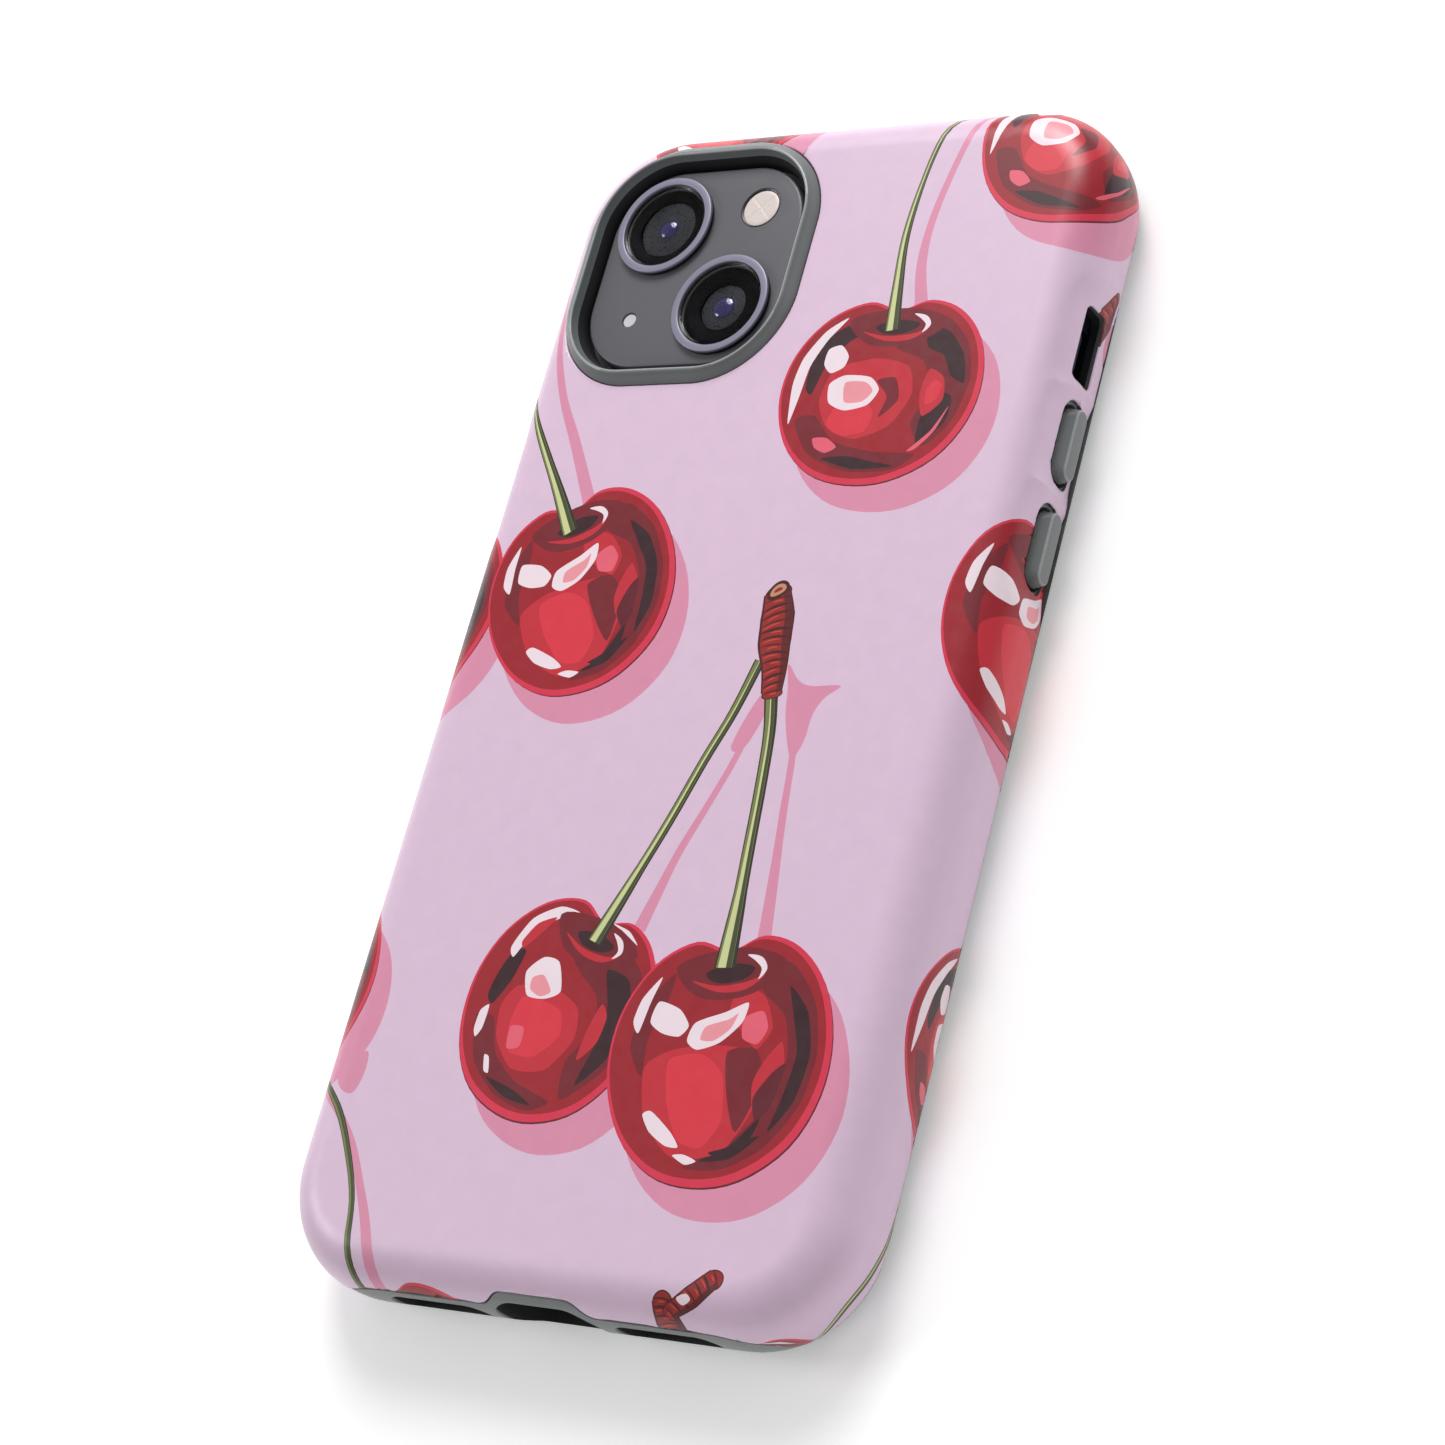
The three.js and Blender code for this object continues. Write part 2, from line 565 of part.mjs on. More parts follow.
function backGlass() {
  const sheet = toSolid(loft([
    slabLayer(BACK_GLASS_FRONT, PHONE_WIDTH - 0.4, PHONE_LENGTH - 0.4, PHONE_CORNER),
    slabLayer(PHONE_BACK - 0.4, PHONE_WIDTH - 0.4, PHONE_LENGTH - 0.4, PHONE_CORNER),
    slabLayer(PHONE_BACK, PHONE_WIDTH - 0.4, PHONE_LENGTH - 0.4, PHONE_CORNER, PHONE_EDGE),
  ]));
  const layer = (z, inset) => slabLayer(z, PLATEAU_WIDTH, PLATEAU_WIDTH, PLATEAU_CORNER, inset);
  const plateau = toSolid(place(loft([
    layer(PHONE_BACK - 0.3, -0.1),
    layer(PLATEAU_TOP - PLATEAU_EDGE, 0),
    layer(PLATEAU_TOP - PLATEAU_EDGE * 0.3, PLATEAU_EDGE * 0.3),
    layer(PLATEAU_TOP, PLATEAU_EDGE),
  ]), CAMERA_X, CAMERA_Y, 0));
  const pocket = place(loft([
    layer(BACK_GLASS_FRONT - 1, 1.2), layer(PLATEAU_TOP - PLATEAU_SKIN, 1.2),
  ]), CAMERA_X, CAMERA_Y, 0);
  const holes = LENSES.map((lens) => lensHole(lens, LENS_BORE + 0.6, PLATEAU_TOP - 3, PLATEAU_TOP + 1));
  holes.push(lensHole(FLASH, FLASH_RADIUS + 0.08, PLATEAU_TOP - 3, PLATEAU_TOP + 1));
  holes.push(lensHole(REAR_MIC, REAR_MIC_RADIUS, PLATEAU_TOP - 3, PLATEAU_TOP + 1));
  return [pocket, ...holes].reduce((rest, cutter) => rest.subtract(toSolid(cutter)), sheet.add(plateau));
}

// ---- Phone: cameras ---------------------------------------------------------------------------------

function lensRing(lens) {
  const inner = LENS_BORE;
  const outer = LENS_RING_RADIUS;
  return place(turned([
    [inner, PLATEAU_TOP - 1.6], [inner + 0.4, PLATEAU_TOP - 1.6], [inner + 0.4, PLATEAU_TOP + 0.03],
    [outer, PLATEAU_TOP + 0.03], [outer, LENS_TOP - 0.15], [outer - 0.12, LENS_TOP],
    [inner + 0.1, LENS_TOP], [inner, LENS_TOP - 0.1], [inner, PLATEAU_TOP - 1.6],
  ]), lens.x, lens.y, 0);
}

const COVER_TOP = LENS_TOP - LENS_COVER_DEPTH;
const COVER_BOTTOM = COVER_TOP - LENS_COVER_THICKNESS;

function lensCover(lens) {
  return place(disc(LENS_BORE - 0.12, COVER_BOTTOM, COVER_TOP), lens.x, lens.y, 0);
}

function lensBezel(lens) {
  const outer = LENS_BORE - 0.12;
  return place(ring(outer - 0.6, outer, COVER_BOTTOM - 1.6, COVER_BOTTOM - 0.05), lens.x, lens.y, 0);
}

function cameraModule(lens, opening) {
  const top = COVER_BOTTOM - 0.6;
  const radius = LENS_BORE - 1.0;
  const barrel = toSolid(turned([
    [0, BAY_FLOOR + 1], [radius, BAY_FLOOR + 1], [radius, top], [opening, top],
    [opening - 0.8, top - 0.5], [opening - 0.8, top - 0.9], [opening * 0.4, top - 1.5], [0, top - 1.5],
  ]));
  const housing = toSolid(roundedBlock(CAMERA_HOUSING, CAMERA_HOUSING, 0.8, BAY_FLOOR, BACK_GLASS_FRONT - FIT_GAP));
  return place(toGeometry(barrel.add(housing)), lens.x, lens.y, 0);
}

// ---- Phone: inside ------------------------------------------------------------------------------------

const COIL_LOW = BACK_GLASS_FRONT - 0.45;
const COIL_HIGH = BACK_GLASS_FRONT - 0.1;
const BAY_TOP = COIL_LOW - 0.15;
const BAY_SIDE = INNER_SIDE - 2.55;
const BAY_BOTTOM = -INNER_END + 3;
const ZONE_BOTTOM = -INNER_END + BOTTOM_ZONE;
const ZONE_TOP = INNER_END - TOP_ZONE;
const CAMERA_ZONE = CAMERA_Y - LENS_SPREAD - CAMERA_HOUSING / 2;
const BOARD_SIDE = TRAY_DEPTH - PHONE_SIDE + 1.75;

// A plain rounded box between two corners in the bay behind the display plate.
function bayBox(x0, x1, y0, y1, low, high, corner = 1) {
  return place(roundedBlock(x1 - x0, y1 - y0, corner, low, high), (x0 + x1) / 2, (y0 + y1) / 2, 0);
}

function portShell() {
  const outer = roundedBlock(RECEPTACLE_WIDTH, RECEPTACLE_HEIGHT, RECEPTACLE_HEIGHT / 2 - 0.02,
    0, RECEPTACLE_DEPTH);
  const inner = roundedBlock(RECEPTACLE_WIDTH - 0.6, RECEPTACLE_HEIGHT - 0.6,
    RECEPTACLE_HEIGHT / 2 - 0.32, 0.6, RECEPTACLE_DEPTH + 1);
  const shell = toGeometry(cutAll(outer, [inner]));
  return outOfBottom(shell, 0, -PHONE_END + 0.1 + RECEPTACLE_DEPTH, PORT_Z);
}

function portTongue() {
  const tongue = roundedBlock(6.2, 0.7, 0.3, 0.65, RECEPTACLE_DEPTH - 1.2);
  return outOfBottom(tongue, 0, -PHONE_END + 0.1 + RECEPTACLE_DEPTH, PORT_Z);
}

function endScrew(side) {
  const head = disc(END_SCREW_RADIUS, 0, 1, 14);
  const shank = disc(END_SCREW_RADIUS * 0.55, -3, 0.2, 10);
  const screw = toGeometry(toSolid(head).add(toSolid(shank)));
  return outOfBottom(screw, side * END_SCREW_SPREAD, -PHONE_END + 1.1, PORT_Z);
}

function soundMesh(side) {
  const x = side * (SLOT_INNER + SLOT_OUTER) / 2;
  const length = SOUND_HOLES * SOUND_HOLE_PITCH;
  return bayBox(x - length / 2, x + length / 2, -INNER_END + 0.05, -INNER_END + 0.45,
    PHONE_MIDDLE - 0.5, PHONE_MIDDLE + 0.9, 0.15);
}

function keySwitch({ side, y }) {
  const far = INNER_SIDE - 0.05 - KEY_TRAVEL - 0.1;
  const body = sideHole(side, y, PHONE_MIDDLE + 0.2, 1.8, 3.2, 0.3, far - 1.3, far - 0.25);
  const dome = sideHole(side, y, PHONE_MIDDLE + 0.2, 1.1, 1.4, 0.5, far - 0.4, far);
  return toSolid(body).add(toSolid(dome));
}

function simTray() {
  const face = sideHole(-1, TRAY_Y, TRAY_Z, TRAY_HEIGHT, TRAY_LENGTH, 0.7, PHONE_SIDE - 1.4, PHONE_SIDE - 0.05);
  const plate = sideHole(-1, TRAY_Y, TRAY_Z, 0.8, TRAY_LENGTH - 1.5, 0.3, PHONE_SIDE - TRAY_DEPTH, PHONE_SIDE - 1);
  return toSolid(face).add(toSolid(plate));
}

// ---- Assembly -------------------------------------------------------------------------------------------

const group = new THREE.Group();

function node(name, shape, makeFinish) {
  const geometry = shape.isBufferGeometry ? shape : toGeometry(shape);
  const mesh = new THREE.Mesh(geometry, makeFinish());
  mesh.name = name;
  group.add(mesh);
}

node('outer_shell', outerShell(), PRINTED);
node('inner_liner', innerLiner(), SOFT_GREY);
KEYS.forEach((key) => {
  node(`${key.name}_cover`, keyCover(key), SOFT_GREY);
  node(`${key.name}_button`, phoneKey(key), ANODISED);
  node(`${key.name}_switch`, keySwitch(key), BLACK_PLASTIC);
});
node('ringer_switch', ringerSwitch(), ANODISED);

node('phone_frame', phoneFrame(), ANODISED);
node('display_glass', displayGlass(), DARK_GLASS);
node('display_panel', displayPanel(), BLACK_PLASTIC);
node('earpiece_mesh', earpiece(0, PHONE_FRONT + 0.2, PHONE_FRONT + GLASS_THICKNESS), BLACK_PLASTIC);
node('back_glass', backGlass(), MATTE_GLASS);

LENSES.forEach((lens, index) => {
  const number = index + 1;
  node(`lens_ring_${number}`, lensRing(lens), RING_METAL);
  node(`lens_cover_${number}`, lensCover(lens), DARK_GLASS);
  node(`lens_bezel_${number}`, lensBezel(lens), STEEL);
  node(`camera_module_${number}`, cameraModule(lens, index === 0 ? 3.95 : 3.2), BLACK_PLASTIC);
});
node('flash_lens', place(disc(FLASH_RADIUS, PLATEAU_TOP - 1, PLATEAU_TOP + 0.05), FLASH.x, FLASH.y, 0),
  FLASH_LENS);
node('rear_mic_mesh', place(disc(REAR_MIC_RADIUS - 0.05, PLATEAU_TOP - 0.7, PLATEAU_TOP - 0.3),
  REAR_MIC.x, REAR_MIC.y, 0), STEEL);

node('battery', bayBox(BAY_SPLIT + 0.75, BAY_SIDE, ZONE_BOTTOM + 2, ZONE_TOP - 2, BAY_FLOOR, BAY_TOP), CELL);
node('logic_board', bayBox(BOARD_SIDE, BAY_SPLIT - 0.75, ZONE_BOTTOM + 4, CAMERA_ZONE - 2,
  BAY_FLOOR + 0.4, BAY_FLOOR + 2.4), BOARD);
node('charging_coil', place(ring(10, 20, COIL_LOW, COIL_HIGH), 0, 0, 0), COPPER);
node('magnet_ring', place(ring(23, 27, COIL_LOW, COIL_HIGH), 0, 0, 0), STEEL);
node('loudspeaker', bayBox(7, BAY_SIDE, BAY_BOTTOM, ZONE_BOTTOM, BAY_FLOOR, BAY_TOP), BLACK_PLASTIC);
node('haptic_motor', bayBox(-BAY_SIDE, -7, BAY_BOTTOM, BAY_BOTTOM + HAPTIC_LENGTH, BAY_FLOOR,
  BAY_TOP - 0.5), STEEL);
node('front_camera', bayBox(4, 12, ZONE_TOP + 6, INNER_END - 3, BAY_FLOOR, BAY_TOP - 0.6), BLACK_PLASTIC);
node('earpiece_speaker', bayBox(14, 28, ZONE_TOP + 3, INNER_END - 4, BAY_FLOOR, BAY_TOP - 0.8),
  BLACK_PLASTIC);
node('port_shell', portShell(), STEEL);
node('port_tongue', portTongue(), BLACK_PLASTIC);
node('end_screw_left', endScrew(-1), STEEL);
node('end_screw_right', endScrew(1), STEEL);
node('speaker_mesh', soundMesh(1), BLACK_PLASTIC);
node('microphone_mesh', soundMesh(-1), BLACK_PLASTIC);
node('sim_tray', simTray(), ANODISED);

export default group;
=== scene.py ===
"""Two-layer phone case with an all-over cherry print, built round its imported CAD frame.

Lengths are in millimetres until a mesh is made. The print is drawn in the shell's own flat
coordinates: on the flat back they are x and y, and past it they go on round the crown and down
the wall, so nothing stretches.
"""

import math

import bmesh
import bpy
import numpy as np
from mathutils import Matrix, Vector
from mathutils.geometry import delaunay_2d_cdt


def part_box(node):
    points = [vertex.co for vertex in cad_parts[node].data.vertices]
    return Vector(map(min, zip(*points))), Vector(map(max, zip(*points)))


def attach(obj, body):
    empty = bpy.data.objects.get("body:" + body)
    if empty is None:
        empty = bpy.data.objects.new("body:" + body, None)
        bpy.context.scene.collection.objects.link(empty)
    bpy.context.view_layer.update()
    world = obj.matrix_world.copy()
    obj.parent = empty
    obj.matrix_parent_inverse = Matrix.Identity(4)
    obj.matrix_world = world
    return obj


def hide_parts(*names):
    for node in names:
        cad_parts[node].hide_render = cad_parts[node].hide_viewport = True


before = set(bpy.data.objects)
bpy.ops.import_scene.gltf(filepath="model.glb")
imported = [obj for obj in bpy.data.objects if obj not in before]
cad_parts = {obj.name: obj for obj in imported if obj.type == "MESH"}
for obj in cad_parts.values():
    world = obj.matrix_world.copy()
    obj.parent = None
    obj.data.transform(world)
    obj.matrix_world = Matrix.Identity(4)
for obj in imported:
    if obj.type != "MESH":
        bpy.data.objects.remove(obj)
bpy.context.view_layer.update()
MM = 0.001
QUARTER = math.pi / 2


def node_box(name):
    low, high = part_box(name)
    return np.array(low) / MM, np.array(high) / MM


def middle(name):
    return sum(node_box(name)) / 2


# ---- Places taken from the frame

SHELL_LOW, (SIDE, END, TOP) = node_box("outer_shell")
SHELL_EDGE = SHELL_LOW[2]
RIM_TOP = node_box("inner_liner")[1][2]
PHONE_SIDE, PHONE_END, _ = node_box("phone_frame")[1]
PHONE_FRONT = node_box("display_glass")[0][2]
PHONE_MIDDLE = middle("volume_up_button")[2]
PHONE_BACK = 2 * PHONE_MIDDLE - PHONE_FRONT
GLASS_LOW, GLASS_HIGH = node_box("back_glass")
PLATEAU_TOP = GLASS_HIGH[2]
RING_1, RING_2 = middle("lens_ring_1"), middle("lens_ring_2")
CAMERA = (RING_1[:2] + RING_2[:2]) / 2
RING_LOW, RING_HIGH = node_box("lens_ring_1")
RING_RADIUS = (RING_HIGH[0] - RING_LOW[0]) / 2
LENS_TOP = RING_HIGH[2]
COVER_BOTTOM, COVER_TOP = (corner[2] for corner in node_box("lens_cover_1"))
FLASH_LOW, FLASH_HIGH = node_box("flash_lens")
FLASH, FLASH_RADIUS = middle("flash_lens"), (FLASH_HIGH - FLASH_LOW)[0] / 2
MIC = middle("rear_mic_mesh")
RINGER_Y = middle("ringer_switch")[1]

# The case's section, as in the CAD part.
CORNER, CROWN = 13.9, 5.6
FOOT_INSET, FOOT_RISE = 3.1, 5.65
WALL, BACK, LAYER_GAP = 1.2, 1.5, 0.1
PLATEAU_HALF, PLATEAU_CORNER = 14.05, 8.8
RIM_HALF, RIM_CORNER = 17.05, 12.3
SLOT_LOW, SLOT_HIGH = PHONE_MIDDLE - 1.2, PHONE_MIDDLE + 3.3
CUT_TOP, ARCH_TOP = TOP - 3.7, TOP - 1.8
FLAT = np.array([SIDE - CROWN, END - CROWN])
FLAT_CORNER = CORNER - CROWN
TOP_EDGE, END_EDGE = 0.22, 0.28
KEYS = (("volume_up", 1), ("volume_down", 1), ("side_key", -1))
KEY_GAP, PHONE_GAP = 0.3, 0.1

# ---- Curves


def smooth(points, closed=False, per=4, tight=0.5):
    """A cardinal curve through the points, with per pieces between each two."""
    p = np.asarray(points, float)
    if closed:
        p = np.vstack([p[-1], p, p[0], p[1]])
    else:
        p = np.vstack([2 * p[0] - p[1], p, 2 * p[-1] - p[-2]])
    t = (np.arange(per) / per)[:, None]
    out = []
    for a, b, c, d in zip(p, p[1:], p[2:], p[3:]):
        start, end = tight * (c - a), tight * (d - b)
        out.append(b + t * start + t**2 * (3 * (c - b) - 2 * start - end)
                   + t**3 * (2 * (b - c) + start + end))
    out = np.vstack(out)
    return out if closed else np.vstack([out, p[-2]])


def bezier(a, b, c, d, steps):
    t = np.linspace(0, 1, steps)[:, None]
    a, b, c, d = (np.asarray(q, float) for q in (a, b, c, d))
    return (1 - t) ** 3 * a + 3 * t * (1 - t) ** 2 * b + 3 * t * t * (1 - t) * c + t**3 * d


def rounded_loop(half, corner, steps, spacing=None, centre=(0, 0)):
    """A rounded rectangle's points, anticlockwise, with its straight sides cut every spacing."""
    corner = max(corner, 0.02)
    points = []
    for quadrant, signs in enumerate(((1, 1), (-1, 1), (-1, -1), (1, -1))):
        arc = QUARTER * (quadrant + np.arange(steps + 1) / steps)
        base = np.array(signs) * (half[0] - corner, half[1] - corner)
        points.append(base + corner * np.column_stack([np.cos(arc), np.sin(arc)]))
    loop = np.vstack(points)
    if spacing:
        cut = []
        for a, b in zip(loop, np.roll(loop, -1, axis=0)):
            n = max(1, round(float(np.hypot(*(b - a))) / spacing))
            cut.append(a + (b - a) * (np.arange(n) / n)[:, None])
        loop = np.vstack(cut)
    return loop + np.asarray(centre, float)


def mirrored(half):
    """A whole outline from its right half, which starts on the middle line."""
    return np.vstack([half[:0:-1] * (-1, 1), half])


def inside(points, polygon):
    """Which of the points lie inside a closed polygon."""
    found = np.zeros(len(points), bool)
    x, y = points.T
    for (ax, ay), (bx, by) in zip(polygon, np.roll(polygon, -1, axis=0)):
        if ay != by:
            found ^= ((ay > y) != (by > y)) & (x < (bx - ax) * (y - ay) / (by - ay) + ax)
    return found


def line_distance(points, line):
    """How far each point is from an open line of points."""
    best = np.full(len(points), np.inf)
    for a, b in zip(line, line[1:]):
        along = b - a
        t = np.clip((points - a) @ along / (along @ along), 0, 1)
        best = np.minimum(best, np.hypot(*(points - a - t[:, None] * along).T))
    return best


def box_distance(p, centre, half, corner):
    """Signed distance of each point outside a rounded rectangle."""
    q = np.abs(p - centre) - (np.asarray(half) - corner)
    return np.hypot(*np.maximum(q, 0).T) + np.minimum(q.max(axis=1), 0) - corner


def leftwards(path):
    """The unit way to the left at each point of a path."""
    along = np.gradient(path, axis=0)
    return np.column_stack([-along[:, 1], along[:, 0]]) / np.hypot(*along.T)[:, None]


def gradient(function, p, h):
    """How a function of flat points changes along each of the two directions."""
    return [(function(p + step) - function(p - step)) / (2 * h) for step in ((h, 0), (0, h))]


# ---- The shell's surface


def wall_profile(steps=240):
    """Distance round the crown and down the wall, with the section and its normal there."""
    crown = np.linspace(0, QUARTER, steps)
    foot = np.linspace(0, math.asin(1 - (SHELL_EDGE - 0.6) / FOOT_RISE), steps)
    out = np.concatenate([CROWN * np.sin(crown), CROWN - FOOT_INSET * (1 - np.cos(foot))])
    z = np.concatenate([TOP - CROWN * (1 - np.cos(crown)), FOOT_RISE * (1 - np.sin(foot))])
    side = np.concatenate([np.sin(crown), FOOT_RISE * np.cos(foot)])
    up = np.concatenate([np.cos(crown), -FOOT_INSET * np.sin(foot)])
    size = np.hypot(side, up)
    along = np.concatenate([[0], np.cumsum(np.hypot(np.diff(out), np.diff(z)))])
    return along, out, z, side / size, up / size


PROFILE = wall_profile()


def down_to(z):
    """The flat distance past the back's edge at which the wall is at height z."""
    return float(np.interp(-z, -PROFILE[2], PROFILE[0]))


SPREAD = down_to(SHELL_EDGE)


def past_flat(p):
    """Signed distance of each flat point outside the level back, and the way out."""
    over = np.maximum(np.abs(p) - (FLAT - FLAT_CORNER), 0)
    way = over / np.maximum(np.hypot(*over.T), 1e-9)[:, None] * np.sign(p)
    return box_distance(p, 0, FLAT, FLAT_CORNER), way


def on_shell(p):
    """Places and normals on the shell's outside for flat points."""
    distance, way = past_flat(p)
    d = np.maximum(distance, 0)
    out, z, side, up = (np.interp(d, PROFILE[0], column) for column in PROFILE[1:])
    flat = distance <= 0
    xy = np.where(flat[:, None], p, p - way * d[:, None] + way * out[:, None])
    normal = np.column_stack([way * side[:, None], up])
    normal[flat] = (0, 0, 1)
    return np.column_stack([xy, z]), normal


def end_flat(x, z):
    """The flat point for a place on the right half of the bottom end."""
    d = down_to(z)
    straight = FLAT - FLAT_CORNER
    if x <= straight[0]:
        return x, -(FLAT[1] + d)
    out = float(np.interp(d, PROFILE[0], PROFILE[1]))
    turn = math.asin(min(1.0, (x - straight[0]) / (FLAT_CORNER + out)))
    reach = FLAT_CORNER + d
    return straight[0] + reach * math.sin(turn), -(straight[1] + reach * math.cos(turn))


def cutout_section(grow=0.0):
    """Right half of the bare part of the bottom end, as x and z from the middle outwards."""
    top, arch = CUT_TOP + grow, ARCH_TOP + grow
    return np.vstack([
        [[0, arch]],
        bezier((4.2 + grow, arch), (6.3 + grow, arch), (6.3 + grow, top), (8.4 + grow, top), 10),
        bezier((22, top), (27, top), (30.5 + grow, top * 0.75), (31.5 + grow, -2), 22),
    ])


# The bare part's edge in flat coordinates, from the left end to the right end.
CUT_EDGE = mirrored(np.array([end_flat(x, z) for x, z in cutout_section() if z > SHELL_EDGE - 0.5]))
CUT_AREA = np.vstack([CUT_EDGE, [[60, -120], [-60, -120]]])


class Hole:
    """An opening through the shell: a rounded box in flat coordinates, dished round its mouth."""

    def __init__(self, centre, half, corner, dish, reach=4.2):
        self.centre, self.half, self.corner = np.array(centre, float), np.array(half, float), corner
        self.dish, self.reach = dish, reach

    def distance(self, p):
        return box_distance(p, self.centre, self.half, self.corner)

    def loop(self, grow=0.0, spacing=0.8):
        steps = max(6, round((self.corner + grow) * QUARTER / spacing))
        return rounded_loop(self.half + grow, self.corner + grow, steps, spacing, self.centre)


def side_hole(side, low_y, high_y, low_z, high_z, corner, dish):
    near, far = FLAT[0] + down_to(high_z), FLAT[0] + down_to(low_z)
    half = ((far - near) / 2, (high_y - low_y) / 2)
    return Hole((side * (near + far) / 2, (low_y + high_y) / 2), half, corner, dish)


def key_hole(name, side):
    low, high = node_box(name + "_cover")
    return side_hole(side, low[1] - 0.6, high[1] + 0.6, low[2] - 0.45, high[2] + 0.6, 2.4, 0.75)


HOLES = [
    Hole(CAMERA, (RIM_HALF + 0.1, RIM_HALF + 0.1), RIM_CORNER + 0.1, 0.0, 1.0),
    *(key_hole(*key) for key in KEYS),
    side_hole(1, RINGER_Y - 4.75, RINGER_Y + 4.75, SLOT_LOW, SLOT_HIGH, 0.9, 0.55),
]


def sink(p):
    """How far the shell's outside lies under its plain form, and the slope of that."""
    depth, slope = np.zeros(len(p)), np.zeros((len(p), 2))

    def add(distance, away, edge, dish=0.0, reach=1.0):
        t = np.clip(1 - distance / reach, 0, 1)
        left = np.clip(edge - distance, 0, edge * 0.985)
        root = np.sqrt(edge**2 - left**2)
        total = dish * t * t * (3 - 2 * t) + (edge - root)
        grade = -dish * 6 * t * (1 - t) / reach - left / root
        deeper = total > depth
        depth[deeper] = total[deeper]
        slope[deeper] = (away * grade[:, None])[deeper]

    for hole in HOLES:
        away = np.column_stack(gradient(hole.distance, p, 0.02))
        add(hole.distance(p), away, TOP_EDGE, hole.dish, hole.reach)
    near = p[:, 1] < CUT_EDGE[:, 1].max() + 2
    distance, away = np.full(len(p), 9.0), np.zeros((len(p), 2))
    distance[near] = line_distance(p[near], CUT_EDGE)
    away[near] = np.column_stack(gradient(lambda q: line_distance(q, CUT_EDGE), p[near], 0.02))
    add(distance, away / np.maximum(np.hypot(*away.T), 1e-6)[:, None], END_EDGE)
    distance, way = past_flat(p)
    add(SPREAD - distance, -way, END_EDGE)
    return depth, slope


def shell_points(p):
    """Finished outside places and normals, and the plain ones, for flat points."""
    place, normal = on_shell(p)
    depth, slope = sink(p)
    east, north = gradient(lambda q: on_shell(q)[0], p, 0.01)
    tilted = normal + slope[:, :1] * east + slope[:, 1:] * north
    tilted /= np.linalg.norm(tilted, axis=1)[:, None]
    return place - normal * depth[:, None], tilted, place, normal


# ---- The print

LILAC, SHADE, PALE = (220, 192, 215), (218, 142, 170), (240, 222, 230)
RIM, EDGE, BODY = (214, 50, 78), (98, 26, 40), (156, 28, 40)
MAROON, DEEP = (118, 30, 40), (54, 26, 32)
RED, BRIGHT, ROSE, PANEL = (196, 42, 56), (218, 52, 68), (228, 96, 116), (236, 150, 160)
STEM_DARK, STEM = (46, 44, 34), (118, 128, 74)
STEM_SHADE, STEM_LIGHT = (70, 76, 46), (204, 208, 150)
WOOD_DARK, WOOD_SHADE, WOOD = (70, 22, 24), (98, 26, 28), (150, 36, 36)
WOOD_LIGHT, WOOD_END = (206, 62, 52), (196, 140, 108)

# A cherry's outline and the hollow of its stem, in units of its half width.
OUTLINE = [
    (0.0, 0.86), (0.3, 0.95), (0.62, 0.83), (0.88, 0.52), (1.0, 0.08), (0.95, -0.36), (0.72, -0.74),
    (0.32, -0.97), (-0.1, -1.0), (-0.5, -0.87), (-0.83, -0.54), (-1.0, -0.06), (-0.95, 0.42),
    (-0.69, 0.8), (-0.32, 0.96),
]
